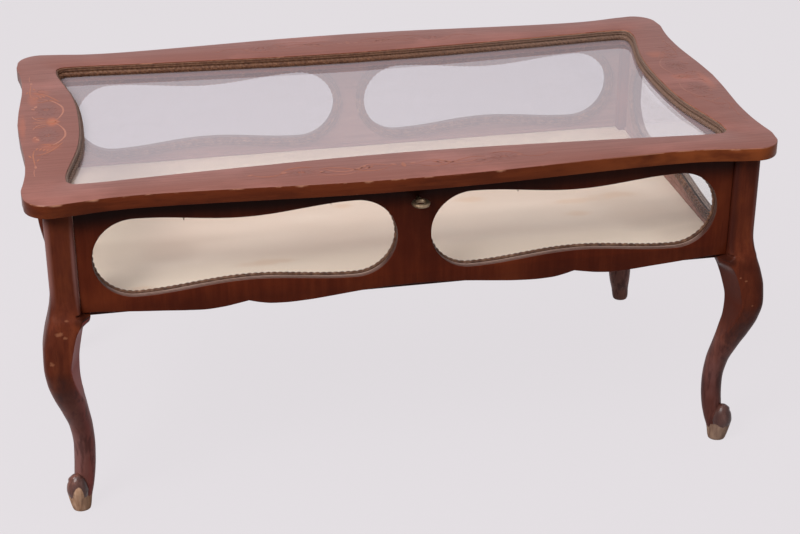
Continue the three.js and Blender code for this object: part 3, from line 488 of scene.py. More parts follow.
# Silk: fine crossed threads, soft bands of painted shade, stains and patches of painted shade, and paler strips of
# painted light at the front, the left end and the back
def silk_material():
    g = Graph("cream_silk")
    bands = g.noise((2.2, 7.0, 1.0), 3.0)
    threads = g.noise((900.0, 140.0, 1.0), 2.0)
    # Soft bands of painted shade
    tone = g.ramp(bands, [(0.3, shade(218, 192, 174)), (0.55, shade(234, 212, 195)), (0.8, shade(240, 224, 209))])
    tone = g.veined(tone, (214, 192, 174), threads, (0.3, 0.2), (0.6, 0.0))
    # Painted light: paler strips at the front and the left end
    painted_light_strips = g.most(g.along("Y", -0.1, -0.17), g.along("X", -0.3, -0.4))
    tone = g.tinted(tone, (255, 233, 211), painted_light_strips, 0.9)
    # Painted light: a paler strip at the back
    tone = g.tinted(tone, (250, 226, 194), g.along("Y", 0.1, 0.17), 0.8)
    tone = g.tinted(tone, (214, 164, 118), g.flat_spots(SILK_STAINS, SILK_TOP, 0.6, 45.0), 0.3)
    # Painted shade: a band across the middle
    tone = g.tinted(tone, (166, 138, 118), g.along("Y", -0.145, -0.1), g.along("Y", -0.02, -0.06), 0.25)
    # Patches of painted shade
    tone = g.tinted(tone, (166, 138, 118), g.flat_spots(SILK_SHADE_PATCHES, SILK_TOP, 0.2, 8.0), 0.26)
    return g.solid({
        "Base Color": tone, "Roughness": 0.6, "Normal": g.bump(threads, 0.0002, 0.3), "Sheen Weight": 0.3,
    })


# Board under the lining: bare pine, stained dark at its edges
def board_material():
    g = Graph("pine_board")
    fibre = g.noise((5.0, 80.0, 80.0), 6.0, 0.6)
    tone = g.ramp(fibre, [(0.3, shade(120, 84, 52)), (0.5, shade(166, 124, 82)), (0.7, shade(192, 150, 104))])
    tone = g.tinted(tone, (62, 26, 16), g.between(g.math("ABSOLUTE", g.facing("Z")), 0.8, 0.4))
    return g.solid({
        "Base Color": tone, "Normal": g.bump(fibre, 0.0003, 0.4), "Roughness": 0.7, "Specular IOR Level": 0.15,
    })


silk = silk_material()
pine_board = board_material()


# Materials of the solids that stay; finer pieces stand for the others
def solid_material(name):
    if name == "lid_glass":
        return lid_glass
    if "pane_" in name or name.endswith("_pane"):
        return back_pane_glass if name.startswith("back") else pane_glass
    if name.startswith("lid_glass_slip"):
        return mahogany_long
    if name == "base_board":
        return pine_board
    if name.startswith("hinge") or name in ("lock_plate", "lock_link_plate") or "screw" in name:
        return brass
    return steel if name in ("lock_case", "lock_bolt", "key") else None


for name, solid in nodes.items():
    if solid_material(name):
        solid.data.materials.clear()
        solid.data.materials.append(solid_material(name))


def mesh_piece(name, vertices, faces, material, smooth=True, closed=True):
    """A piece from points in millimetres; the faces of a closed one are turned outwards."""
    mesh = bpy.data.meshes.new(name)
    mesh.from_pydata([tuple(v) for v in np.asarray(vertices, float) * MM], [], [tuple(map(int, f)) for f in faces])
    mesh.validate()
    mesh.materials.append(material)
    if smooth:
        mesh.shade_smooth()
    if closed:
        work = bmesh.new()
        work.from_mesh(mesh)
        bmesh.ops.recalc_face_normals(work, faces=work.faces)
        work.to_mesh(mesh)
        work.free()
    piece = bpy.data.objects.new(name, mesh)
    bpy.context.scene.collection.objects.link(piece)
    return piece


def corners(node, before=0.0, after=0.0):
    """Opposite corners of a node's box in millimetres, each moved out by a clearance."""
    low, high = (np.array(corner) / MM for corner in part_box(node))
    return low - before, high + after


def spaced(points, count, endpoint=True):
    """Points at even distances along a line of points."""
    along = np.concatenate([[0], np.cumsum(np.linalg.norm(np.diff(points, axis=0), axis=1))])
    at = np.linspace(0, along[-1], count, endpoint=endpoint)
    return np.column_stack([np.interp(at, along, points[:, k]) for k in (0, 1)])


def resample(loop, count):
    return spaced(np.vstack([loop, loop[:1]]), count, endpoint=False)


# Outlines. A quarter is drawn by knots and a corner arc, then turned into a closed loop, anticlockwise
def smooth_run(knots, count):
    points = np.array(knots, float)
    ends = np.vstack([2 * points[0] - points[1], points, 2 * points[-1] - points[-2]])
    fine = []
    for a, b, c, d in zip(ends, ends[1:], ends[2:], ends[3:]):
        before, here, after = (math.sqrt(np.linalg.norm(q - p)) for p, q in ((a, b), (b, c), (c, d)))
        start = ((b - a) / before - (c - a) / (before + here) + (c - b) / here) * here
        end = ((c - b) / here - (d - b) / (here + after) + (d - c) / after) * here
        for t in np.linspace(0, 1, 40, endpoint=False):
            bend = (-3 * b + 3 * c - 2 * start - end) * t**2 + (2 * b - 2 * c + start + end) * t**3
            fine.append(b + start * t + bend)
    return spaced(np.array(fine + [points[-1]]), count + 1)


def corner_arc(centre_x, centre_y, radius, steps):
    angle = np.linspace(math.pi / 2, 0, steps + 1)
    return np.column_stack([centre_x + radius * np.cos(angle), centre_y + radius * np.sin(angle)])


def fourfold(quarter):
    body = quarter[:-1]
    other = quarter[:0:-1]
    loop = np.vstack([body, other * (1, -1), body * (-1, -1), other * (-1, 1)])
    return loop[::-1]


def eared_outline(long_knots, short_knots, ear, radius, counts=(150, 18, 80)):
    ear_x, ear_y = ear
    long_run = smooth_run([*long_knots, (ear_x - radius, ear_y)], counts[0])
    corner = corner_arc(ear_x - radius, ear_y - radius, radius, counts[1])
    short_run = smooth_run([(ear_x, ear_y - radius), *short_knots], counts[2])
    return fourfold(np.vstack([long_run[:-1], corner, short_run[1:]]))


def outward(loop):
    ahead = np.roll(loop, -1, 0) - loop
    ahead /= np.linalg.norm(ahead, axis=1, keepdims=True)
    tangent = ahead + np.roll(ahead, 1, 0)
    tangent /= np.linalg.norm(tangent, axis=1, keepdims=True)
    return np.column_stack([tangent[:, 1], -tangent[:, 0]])


lid_outer = eared_outline(
    np.array((
        (0, 1), (0.12, 0.9965), (0.25, 0.987), (0.37, 0.973), (0.5, 0.958), (0.62, 0.9465), (0.72, 0.9425),
        (0.8, 0.95), (0.87, 0.97),
    )) * (LID_X, LID_Y),
    np.array((
        (0.997, 0.8), (0.991, 0.72), (0.9855, 0.62), (0.984, 0.52), (0.985, 0.42), (0.99, 0.3), (0.996, 0.16), (1, 0),
    )) * (LID_X, LID_Y),
    (497, 280.0), 34,
)
lid_opening = eared_outline(
    np.array((
        (0, 0), (0.24, 0.109), (0.46, 0.337), (0.68, 0.594), (0.84, 0.822), (0.96, 0.99),
    )) * (OPENING_X, 20.1) + (0, OPENING_Y),
    np.array((
        (0.983, 0.94), (0.82, 0.83), (0.547, 0.68), (0.239, 0.49), (0.051, 0.25), (0, 0),
    )) * (24.4, OPENING_Y) + (OPENING_X, 0),
    (441.9, 219.6), 15,
)


# Opening of a side: round at its ends and narrower in the middle
def waisted(length):
    radius, low = 55.0, 44.75
    centre = length / 2 - radius
    along = np.linspace(0, 1, 60, endpoint=False)
    height = low + (radius - low) * (1 - np.cos(math.pi * along)) / 2
    run = np.column_stack([centre * along, height])
    return fourfold(np.vstack([run, corner_arc(centre, 0, radius, 40)]))


def band_faces(levels, size, closed=False):
    """Faces between rows of points that close on themselves; closed joins the last row to the first too."""
    i, j = np.meshgrid(np.arange(levels if closed else levels - 1), np.arange(size), indexing="ij")
    above, beside = (i + 1) % levels, (j + 1) % size
    return np.stack([i * size + j, i * size + beside, above * size + beside, above * size + j], -1).reshape(-1, 4)


def tube(rows):
    """A closed solid through rows of points, with a flat face at each end."""
    levels, size = len(rows), len(rows[0])
    caps = [list(range(size))[::-1], [(levels - 1) * size + k for k in range(size)]]
    return np.vstack(rows), band_faces(levels, size).tolist() + caps


def joined(parts):
    """Several sets of points and faces as one."""
    vertices, faces, start = [], [], 0
    for points, loops in parts:
        vertices.append(points)
        faces += [[start + k for k in loop] for loop in loops]
        start += len(points)
    return np.vstack(vertices), faces


def joined_rings(*rings):
    """Closed rings, each a list of rows of points, as one set of points and faces."""
    return joined(
        (np.vstack(rows), band_faces(len(rows), len(rows[0]), closed=True)[:, [0, 3, 2, 1]].tolist())
        for rows in rings
    )


def section_rows(loop, section, placed):
    out = outward(loop)
    return [placed(loop + out * offset, level) for offset, level in section]


# Carved rope along a loop: a round bar with slanting grooves
def rope_rows(loop, offset, level, radius, pitch, strands, placed, depth):
    around, per_turn = 12, 8
    turns = round(float(np.linalg.norm(np.roll(loop, -1, 0) - loop, axis=1).sum()) / pitch)
    path = resample(loop, turns * per_turn)
    out = outward(path)
    rows = []
    for angle in 2 * math.pi * np.arange(around) / around:
        phase = 2 * math.pi * np.arange(len(path)) / per_turn + strands * angle
        reach = radius * (1 - depth + depth * np.abs(np.sin(phase / 2)) ** 0.7)
        points = path + out * (offset + reach * math.cos(angle))[:, None]
        rows.append(placed(points, level + reach * math.sin(angle)))
    return rows


def flat_place(points, level):
    return np.column_stack([points, np.broadcast_to(level, len(points))])


def wall_place(across, face, inward, shift=(0.0, 0.0)):
    """Places outline points at a depth behind a wall's face; across is the axis that the wall faces."""
    def placed(points, depth):
        level = face + inward * np.broadcast_to(depth, len(points))
        run, height = (points + shift).T
        return np.column_stack([run, level, height] if across else [level, run, height])
    return placed


def settle(piece):
    graph = bpy.context.evaluated_depsgraph_get()
    mesh = bpy.data.meshes.new_from_object(piece.evaluated_get(graph))
    piece.modifiers.clear()
    piece.data = mesh


def cut_away(piece, blocks):
    """Takes blocks, each a pair of opposite corners in millimetres, out of a closed piece."""
    cutters = []
    for low, high in blocks:
        points = list(itertools.product(*zip(low, high)))
        faces = [(0, 1, 3, 2), (4, 6, 7, 5), (0, 4, 5, 1), (2, 3, 7, 6), (0, 2, 6, 4), (1, 5, 7, 3)]
        cutter = mesh_piece("cutter", points, faces, piece.data.materials[0], smooth=False)
        modifier = piece.modifiers.new("cut", "BOOLEAN")
        modifier.operation, modifier.solver, modifier.object = "DIFFERENCE", "MANIFOLD", cutter
        cutters.append(cutter)
    settle(piece)
    for cutter in cutters:
        bpy.data.objects.remove(cutter)


def keep_creases(piece, degrees=38):
    piece.data.set_sharp_from_angle(angle=math.radians(degrees))


# Lid frame: one veneered ring with eased edges, rebated for the glass and pocketed for the hinges and lock
def add_lid_frame():
    top = LID_TOP / MM - 0.15
    under = corners("lid_rail_front")[0][2]
    outer = [(-1.4, under), (-0.35, under + 0.5), (0.0, under + 1.6)]
    outer += [(1.1 * (math.cos(a) - 1), top - 1.1 + 1.1 * math.sin(a)) for a in np.linspace(0, math.pi / 2, 5)]
    inner = [(0.7 * (1 - math.sin(a)), top - 0.7 + 0.7 * math.cos(a)) for a in np.linspace(0, math.pi / 2, 4)]
    inner += [(0.0, under + 3.5), (6.0, under + 3.5), (6.0, under)]
    rows = section_rows(lid_outer, outer, flat_place) + section_rows(lid_opening, inner, flat_place)
    piece = mesh_piece("lid_frame", *joined_rings(rows), lid_edge)
    piece.data.materials.append(lid_top)
    for polygon in piece.data.polygons:
        if polygon.center.z > (top - 0.6) * MM:
            polygon.material_index = 1
    pockets = []
    for name in ("hinge_leaf_lid_left", "hinge_leaf_lid_right", "lock_link_plate"):
        low, high = corners(name, 0.3, 0.3)
        pockets.append(((*low[:2], under - 4.0), high))
    cut_away(piece, pockets)
    keep_creases(piece)
    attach(piece, "lid")
    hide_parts("lid_rail_front", "lid_rail_back", "lid_rail_left", "lid_rail_right")


add_lid_frame()


# Inlay of the lid: thin pieces of paler and darker wood, let in and standing a hair proud
def inlay_wood(name, dark, light):
    dark, light = shade(*dark), shade(*light)
    middle = tuple((a + b) / 2 for a, b in zip(dark, light))
    return wood(name, (dark, middle, light), "X", (0.3, 0.42), 2.0, 5.0, 0.5, faded_inlay)


class Inlay:
    """Outlines of one kind of wood, turned into thin closed plates and joined as one piece."""

    def __init__(self, kind, dark, light, tone):
        self.name, self.material = "inlay_" + tone, inlay_wood("inlay_" + kind, dark, light)
        self.plates = []

    def plate(self, left, right):
        """A plate between two edges with the same number of points, closed at both ends."""
        top = LID_TOP / MM - 0.02
        under = top - 0.4
        self.plates.append(tube([((*a, top), (*b, top), (*b, under), (*a, under)) for a, b in zip(left, right)]))

    def ribbon(self, knots, width):
        run = smooth_run(knots, 6 * len(knots))
        step = np.gradient(run, axis=0)
        side = np.column_stack([-step[:, 1], step[:, 0]]) / np.linalg.norm(step, axis=1, keepdims=True)
        t = np.linspace(0, 1, len(run))
        reach = width / 2 * np.maximum(np.sin(math.pi * t) ** 0.45, 0.25 - 0.1 * t)[:, None]
        self.plate(run + side * reach, run - side * reach)

    def leaf(self, centre, angle, length, width):
        t = np.linspace(0, 1, 11)
        reach = width / 2 * np.maximum(np.sin(math.pi * t) ** 0.8 * (1.15 - 0.3 * t), 0.03)[:, None]
        ahead = np.array([math.cos(angle), math.sin(angle)])
        across = np.array([-ahead[1], ahead[0]])
        spine = centre + np.outer(t - 0.5, ahead) * length
        self.plate(spine + across * reach, spine - across * reach)

    def done(self):
        piece = mesh_piece(self.name, *joined(self.plates), self.material, smooth=False)
        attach(piece, "lid")


pale = Inlay("maple", (168, 100, 76), (196, 130, 102), "pale")
golden = Inlay("satinwood", (158, 84, 46), (188, 112, 66), "golden")
dark_wood = Inlay("ebonised", (104, 62, 54), (128, 80, 70), "dark")


def flower(centre, reach_x, reach_y):
    petals, heart = 13, 5
    for angle in 2 * math.pi * (np.arange(petals) + 0.5) / petals:
        ahead = np.array([reach_x * math.cos(angle), reach_y * math.sin(angle)])
        dark_wood.leaf(
            centre + ahead * 0.6, math.atan2(ahead[1], ahead[0]), np.linalg.norm(ahead) * 0.78,
            1.5 * math.pi * min(reach_x, reach_y) / petals * 0.72,
        )
    for angle in 2 * math.pi * np.arange(heart) / heart:
        spot = np.array([math.cos(angle) * reach_x, math.sin(angle) * reach_y]) * 0.16
        golden.leaf(centre + spot, angle, 2.6, 1.5)


def end_motif(side):
    """The end rails carry two ringed flowers, one each side of a knot, with tendrils beyond."""
    for way in (1, -1):
        def at(*points):
            return np.array(points) * (side, way)
        pale.ribbon(
            at((452, 3), (446, 10), (440, 24), (437, 39), (438, 55), (443, 68), (451, 80), (460, 87), (469, 90)), 2.6,
        )
        golden.ribbon(at((441, 76), (450, 92), (458, 104), (467, 112), (477, 116)), 2.2)
        golden.ribbon(at((445, 79), (453, 85), (462, 80), (471, 79)), 1.6)
        pale.ribbon(at((456, 5), (462, 6), (469, 8), (476, 15), (480, 26)), 1.8)
        pale.ribbon(at((459, 2), (469, 2.2), (480, 3)), 1.5)
        golden.ribbon(at((461, 13), (470, 17), (480, 16)), 1.4)
        flower(at((460, 48)), 15.5, 24)
        for k in range(4):
            golden.leaf(at((462 + 4.6 * k, 101 - 2.2 * k)), way * 1.9, 9, 2.6)
        pale.leaf(at((474, 61)), way * 1.2, 9, 4.6)
        pale.leaf(at((478, 53)), way * 2.3, 7, 3.4)
        golden.ribbon(at((479, 98), (481, 116), (480, 136), (479, 152)), 1.8)
        pale.leaf(at((478.5, 156)), way * math.pi / 2, 9, 3.6)
        pale.ribbon(at((480, 163), (481, 174), (480, 187)), 1.2)
        golden.leaf(at((485, 119)), way * 1.3, 10, 2.6)
        golden.leaf(at((475, 133)), way * 1.9, 9, 2.2)
        dark_wood.ribbon(at((458, 108), (463, 116), (468, 117), (471, 123), (466, 129), (460, 127)), 1.5)
    golden.leaf((side * 454, 0), 0, 13, 8)
    pale.leaf((side * 446, 0), 0, 8, 3)


def long_motif(middle, side, level):
    """The long rails carry two flowers joined by scrolls that meet in a spray of leaves."""
    for way in (1, -1):
        def at(*points):
            return np.array(points) * (way, side) + (middle, side * level)
        pale.ribbon(at((16, 1), (30, -7), (46, -8), (60, 1), (76, 8), (92, 4), (103, -4)), 2.4)
        golden.ribbon(at((22, 6), (36, 12), (52, 10), (66, 3), (80, -4), (96, -8), (110, -6)), 2.0)
        pale.ribbon(at((60, 12), (78, 17), (98, 16), (116, 11)), 1.5)
        flower(at((134, 0)), 19, 12)
        dark_wood.leaf(at((101, 6)), way * 0.2, 16, 6)
        for k in range(4):
            golden.leaf(at((43 + 5 * k, -1 + 3.5 * (k % 2))), (0.7 if way > 0 else 2.44) * side, 12, 2.8)
        pale.leaf(at((13, -3)), way * 0.4, 9, 5)
        pale.leaf(at((107, 3)), way * 0.3, 7, 4)
        pale.leaf(at((156, -3)), 0.2, 9, 5)
        golden.ribbon(at((118, -14), (134, -17), (150, -12), (160, -4)), 1.8)
        golden.ribbon(at((158, 0), (172, 5), (186, 4), (196, -2)), 1.4)
        pale.leaf(at((199, -3)), -way * 0.4, 8, 3.2)
    golden.leaf((middle, side * level), math.pi / 2, 16, 6)


end_motif(-1)
end_motif(1)
long_motif(-12, -1, 240)
long_motif(0, 1, 244)
for kind in (pale, golden, dark_wood):
    kind.done()


# Bead round the glass: a fillet, a hollow and a carved rope
def add_lid_bead():
    foot, top = (corner[2] for corner in corners("lid_bead_front"))
    backing = [
        (-0.3, foot), (-3.6, foot), (-3.6, foot + 0.8), (-2.2, foot + 1.6), (-1.6, foot + 8.0), (-1.6, top - 3.4),
        (-2.6, top - 3.2), (-3.0, top - 2.7), (-2.6, top - 2.2), (-1.7, top - 2.0), (-1.4, top - 0.4),
        (-2.0, top - 0.2), (-2.3, top + 0.4), (-2.0, top + 1.0), (-1.2, top + 1.4), (-0.3, top + 1.5),
    ]
    rope = rope_rows(lid_opening, -2.6, foot + 4.2, 3.7, 7.2, 2, flat_place, 0.42)
    backing_rows = section_rows(resample(lid_opening, 900), backing, flat_place)
    piece = mesh_piece("lid_rope_bead", *joined_rings(backing_rows, rope), gilded)
    keep_creases(piece, 50)
    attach(piece, "lid")
    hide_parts("lid_bead_front", "lid_bead_back", "lid_bead_left", "lid_bead_right")


add_lid_bead()


# Rings that hold the side panes from inside: two bands with a rope between them, and a rope lip in the opening
def add_ring(node):
    low, high = corners(node)
    size, middle = high - low, (high + low) / 2
    across = 1 if size[0] > size[1] else 0
    loop = waisted(max(size[:2]) - 2 * RING_LAP)
    inward = -1.0 if middle[across] > 0 else 1.0
    seat = high[across] if inward < 0 else low[across]
    placed = wall_place(across, seat, inward, (middle[1 - across], middle[2]))
    band = [
        (RING_LAP, 0.0), (RING_LAP, 3.6), (RING_LAP - 0.8, 4.4), (7.9, 4.4), (7.3, 3.7), (6.9, 2.4), (2.3, 2.4),
        (1.9, 3.7), (1.3, 4.4), (0.6, 4.4), (0.0, 3.9), (-0.2, 3.0), (-0.2, 0.0),
    ]
    middle_rope = rope_rows(loop, 4.6, 3.2, 2.7, 9.0, 1, placed, 0.55)
    lip_rope = rope_rows(loop, 0.4, 2.6, 2.5, 8.2, 1, placed, 0.6)
    rings = joined_rings(section_rows(resample(loop, 420), band, placed), middle_rope, lip_rope)
    piece = mesh_piece(node.replace("glazing_bead", "rope_ring"), *rings, stained)
    keep_creases(piece, 50)
    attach(piece, "case")
    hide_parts(node)


for node in sorted(nodes):
    if "glazing_bead" in node:
        add_ring(node)


def eased(table, at):
    """Values of the table's columns at rising places, on a curve without overshoot."""
    table = np.array(sorted(table), float)
    place, values = table[:, :1], table[:, 1:]
    slope = np.diff(values, axis=0) / np.diff(place, axis=0)
    tangent = np.zeros_like(values)
    both = slope[:-1] * slope[1:]
    tangent[1:-1] = np.where(both > 0, 2 * both / np.where(both > 0, slope[:-1] + slope[1:], 1.0), 0.0)
    tangent[0], tangent[-1] = slope[0], slope[-1]
    found = np.clip(np.searchsorted(place[:, 0], at, side="right") - 1, 0, len(place) - 2)
    width = place[found + 1] - place[found]
    t = (np.array(at)[:, None] - place[found]) / width
    return (
        (2 * t**3 - 3 * t**2 + 1) * values[found] + (t**3 - 2 * t**2 + t) * width * tangent[found]
        + (3 * t**2 - 2 * t**3) * values[found + 1] + (t**3 - t**2) * width * tangent[found + 1]
    )


# Lower edge of a panel, from its middle to its end: place along the half, and share of the drop
APRON = (
    (0, 0.06), (0.058, 0.1), (0.116, 0.2), (0.18, 0.4), (0.253, 0.68), (0.322, 0.91), (0.385, 1), (0.433, 0.93),
    (0.471, 0.68), (0.505, 0.32), (0.541, 0.58), (0.58, 0.82), (0.633, 0.96), (0.686, 0.86), (0.756, 0.64),
    (0.828, 0.43), (0.908, 0.16), (0.966, 0), (1, 0),
)
APRON_DROP, APRON_CUSP = 11.5, 0.505


def apron_edge(half):
    at = np.linspace(0, APRON_CUSP, 60, endpoint=False), np.linspace(APRON_CUSP, 1, 60)
    parts = [row for row in APRON if row[0] <= APRON_CUSP], [row for row in APRON if row[0] >= APRON_CUSP]
    drop = np.concatenate([eased(part, places)[:, 0] for part, places in zip(parts, at)])
    right = np.column_stack([np.concatenate(at) * half, PANEL_FOOT - APRON_DROP * drop])
    return np.vstack([right[:0:-1] * (-1, 1), right])


# Material slots of a panel
FACE, SILL, INNER = 0, 1, 2


# Case panels: a long panel is one piece here, with eased edges, both openings and the lock's keyhole
def add_panel(name, members, hole_nodes):
    lows, highs = zip(*(corners(node) for node in members))
    low, high = np.min(lows, axis=0), np.max(highs, axis=0)
    across = 1 if high[0] - low[0] > high[1] - low[1] else 0
    along = 1 - across
    half = (high[along] - low[along]) / 2
    front = low[across] if low[across] < 0 else high[across]
    placed = wall_place(across, front, 1.0 if front < 0 else -1.0)
    side = np.column_stack([np.full(11, half), np.linspace(PANEL_FOOT, CASE_TOP, 12)[1:]])
    outline = np.vstack([apron_edge(half), side, side[::-1] * (-1, 1)])
    ease = [(1 - math.cos(a), 1 - math.sin(a)) for a in np.linspace(math.pi / 2, 0, 4)]
    contours = [(outline, [(-inset, depth) for inset, depth in ease] + [(0.0, PANEL_THICK)], FACE)]
    for node in hole_nodes:
        start, end = corners(node)
        middle = (start + end) / 2
        loop = waisted(end[along] - start[along] - 2 * RING_LAP) + (middle[along], middle[2])
        section = list(ease)
        for level in (2.4, 5.6):
            section += [(0.0, level), (0.75, level + 0.35), (0.75, level + 0.75), (0.0, level + 1.1)]
        section += [(0.0, 9.2), (5.3, 9.2), (5.3, PANEL_THICK)]
        contours.append((loop, section, SILL))
    pockets = []
    if name == "front_panel":
        angle = np.linspace(-0.35 * math.pi, 1.35 * math.pi, 30)
        bow = np.column_stack([3.1 * np.cos(angle), 3.1 * np.sin(angle)])
        keyhole = np.vstack([bow, [(-1.4, -9.5), (1.4, -9.5)]]) + KEYHOLE
        contours.append((keyhole, [(0.3, 0.0), (0.0, 0.3), (0.0, PANEL_THICK)], FACE))
        pockets = [corners(node, 0.3, 0.6) for node in ("lock_case", "lock_plate")]
    if name == "back_panel":
        for label in ("left", "right"):
            low, high = corners(f"hinge_leaf_case_{label}", 0.3, (0.3, 4.0, 0.0))
            pockets.append(((*low[:2], CASE_TOP - 3.0), (*high[:2], CASE_TOP + 4)))
    vertices, faces, slots = [], [], []
    caps = {FACE: [], INNER: []}
    for loop, section, slot in contours:
        size, levels = len(loop), len(section)
        start = sum(len(row) for row in vertices)
        vertices.extend(section_rows(loop, section, placed))
        faces.extend((band_faces(levels, size) + start).tolist())
        for level in range(levels - 1):
            slots += [slot if level >= len(ease) - 2 else FACE] * size
        caps[FACE].append((start, loop + outward(loop) * section[0][0]))
        caps[INNER].append((start + (levels - 1) * size, loop + outward(loop) * section[-1][0]))
    for cap_slot, parts in caps.items():
        index = [first + k for first, loop in parts for k in range(len(loop))]
        rings = [[Vector((x, y, 0)) for x, y in loop] for _, loop in parts]
        for triangle in tessellate_polygon(rings):
            faces.append([index[k] for k in triangle])
            slots.append(cap_slot)
    piece = mesh_piece(name, np.vstack(vertices), faces, mahogany_upright)
    piece.data.materials.append(sill_wood)
    piece.data.materials.append(inner_wood)
    for polygon, slot in zip(piece.data.polygons, slots):
        polygon.material_index = slot
    if pockets:
        cut_away(piece, pockets)
    keep_creases(piece)
    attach(piece, "case")
    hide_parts(*members)


# Levels of a leg, from its top down: share of the height, outer and inner X, outer and inner Y, and squareness
LEG_LEVELS = (
    (1, 0.26, -0.485, 0.126, -0.625, 5), (0.76, 0.26, -0.485, 0.126, -0.625, 5),
    (0.735, 0.265, -0.485, 0.14, -0.625, 5), (0.705, 0.3, -0.485, 0.2, -0.625, 5),
    (0.682, 0.346, -0.5, 0.29, -0.64, 4.5),
    (0.6715, 0.37, -0.72, 0.35, -0.71, 3.8), (0.628, 0.49, -0.57, 0.46, -0.63, 3.3),
    (0.584, 0.568, -0.46, 0.54, -0.48, 3), (0.53, 0.586, -0.37, 0.58, -0.36, 2.8),
    (0.475, 0.544, -0.355, 0.46, -0.43, 2.6), (0.41, 0.42, -0.4, 0.212, -0.6, 2.4),
    (0.3445, 0.24, -0.468, -0.06, -0.77, 2.2), (0.279, 0.08, -0.536, -0.3, -0.92, 2.1),
    (0.2136, 0.02, -0.56, -0.424, -1.004, 2), (0.159, 0.04, -0.54, -0.46, -1.032, 2),
    (0.1155, 0.07, -0.5, -0.44, -1.01, 2), (0.072, 0.11, -0.43, -0.38, -0.92, 2),
    (0.039, 0.16, -0.352, -0.31, -0.82, 2), (0.008, 0.19, -0.31, -0.3, -0.79, 2), (0, 0.17, -0.29, -0.32, -0.77, 2),
)


def pared(points, middle, first, second, corner):
    """Draws points beyond the line from first to second, on the corner's side, back to it."""
    normal = np.array([second[1] - first[1], first[0] - second[0]])
    if np.dot(corner - first, normal) < 0:
        normal = -normal
    beyond = (points - first) @ normal > 0
    share = np.dot(first - middle, normal) / np.where(beyond, (points - middle) @ normal, 1.0)
    return np.where(beyond[:, None], middle + (points - middle) * share[:, None], points)


# Cabriole leg, lofted through the same levels as the solid but far finer. The inner sides of its knee are pared
# back, which leaves an arris beside each front face. A back leg is plainer and thicker towards its foot
def leg_loft(plain):
    foot, post, sides = 0.04, 0.76, 96
    heights = np.concatenate([np.linspace(0, foot, 14, endpoint=False), np.linspace(foot, post, 150), [1.0]])
    angle = 2 * math.pi * np.arange(sides) / sides
    round_part = np.column_stack([np.cos(angle), np.sin(angle)])
    pare = np.interp(heights, (0.37, 0.53, 0.64, 0.681, 0.69), (0.0, 0.27, 0.27, 0.22, 0.0))
    reveal = np.interp(heights, (0.6, 0.655), (-1.0, 0.03))
    stout = plain * np.interp(heights, (0, 0.04, 0.08, 0.12, 0.26, 0.4), (0.0, 0.03, 0.08, 0.11, 0.12, 0.0))
    rows = []
    for height, row, cut, more, flush in zip(heights, eased(LEG_LEVELS, heights), pare, stout, reveal):
        outer_x, inner_x, outer_y, inner_y, square = row
        low = np.array([inner_x, inner_y]) - more / 3
        high = np.array([outer_x, outer_y]) + more
        middle = (low + high) / 2
        power = 2 / (square + cut * 3)
        points = middle + (high - low) / 2 * np.sign(round_part) * np.abs(round_part) ** power
        if cut > 0:
            seat = np.maximum(low + 0.1 * (high - low), flush)
            for first, second, corner in (
                ((low[0], seat[1]), (low[0] + cut, high[1]), (low[0], high[1])),
                ((seat[0], low[1]), (high[0], low[1] + cut), (high[0], low[1])),
            ):
                points = pared(points, middle, np.array(first), np.array(second), np.array(corner))
        rows.append(flat_place(points * KNEE + (CASE_X, CASE_Y), CASE_TOP * height))
    return tube(rows)


# The toe of a front leg: a whorl with a rib that winds up it, drawn down to the foot's base
def whorl_toe():
    foot, knob, neck, tall, sides = np.array([459.6, 227.6]), np.array([463.5, 232.0]), 32, 25.0, 64
    profile = [
        (z, foot + (knob - foot) * (z / neck) ** 0.8, 11.6 + 2.7 * (z / neck) ** 0.7 - max(0.0, 1.0 - z))
        for z in (0.0, 0.3, 1.0, *np.linspace(3, neck, 22, endpoint=False))
    ]
    for lift in np.linspace(0, 0.5 * math.pi, 26)[:-1]:
        profile.append((neck + tall * math.sin(lift), knob, 14.3 * math.cos(lift)))
    turn = 2 * math.pi * np.arange(sides) / sides
    rows = []
    for z, centre, radius in profile:
        off = (turn - 0.6 - (z - 18) / 31 * 1.7 * math.pi + math.pi) % (2 * math.pi) - math.pi
        strength = max(0.0, min(1.0, (z - 25) / 12))
        rib = 0.09 * np.exp(-(off / 0.45) ** 2) - 0.06 * np.exp(-((off - 0.9) / 0.35) ** 2)
        reach = radius * (1 + strength * rib)
        rows.append(flat_place(centre + np.column_stack([np.cos(turn), np.sin(turn)]) * reach[:, None], z))
    return tube(rows)


# A leg is cut clear of the case: of the panels above its knee, and of the board and bracket at the knee's top
def add_leg(depth, side):
    node = f"leg_{depth}_{side}"
    sign = np.array([1 if side == "right" else -1, 1 if depth == "back" else -1, 1])
    vertices, faces = leg_loft(depth == "back")
    piece = mesh_piece("shaped_" + node, vertices * sign, faces, leg_wood)
    near, far, above = -10, 600, 470
    cut_away(piece, [(np.array((near, near, foot)) * sign, np.array((x, y, above)) * sign) for x, y, foot in (
        (POST_X, far, 311.4), (far, POST_Y, 311.4), (438, INSIDE_Y, 301.7), (INSIDE_X, 223, 301.7),
    )])
    ease = piece.modifiers.new("ease", "BEVEL")
    ease.limit_method, ease.angle_limit = "ANGLE", math.radians(60)
    ease.width, ease.segments = 1.4 * MM, 3
    settle(piece)
    piece.data.materials.append(pared_wood)
    for face in piece.data.polygons:
        inward = max(-sign[0] * face.normal.x, -sign[1] * face.normal.y)
        if inward > 0.8 and KNEE_LOW < face.center.z < KNEE_HIGH:
            face.material_index = 1
    keep_creases(piece, 42)
    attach(piece, "case")
    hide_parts(node)
    if depth == "front":
        points, quads = whorl_toe()
        whorl = mesh_piece("whorl_" + node, points * sign, quads, whorl_wood)
        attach(whorl, "case")


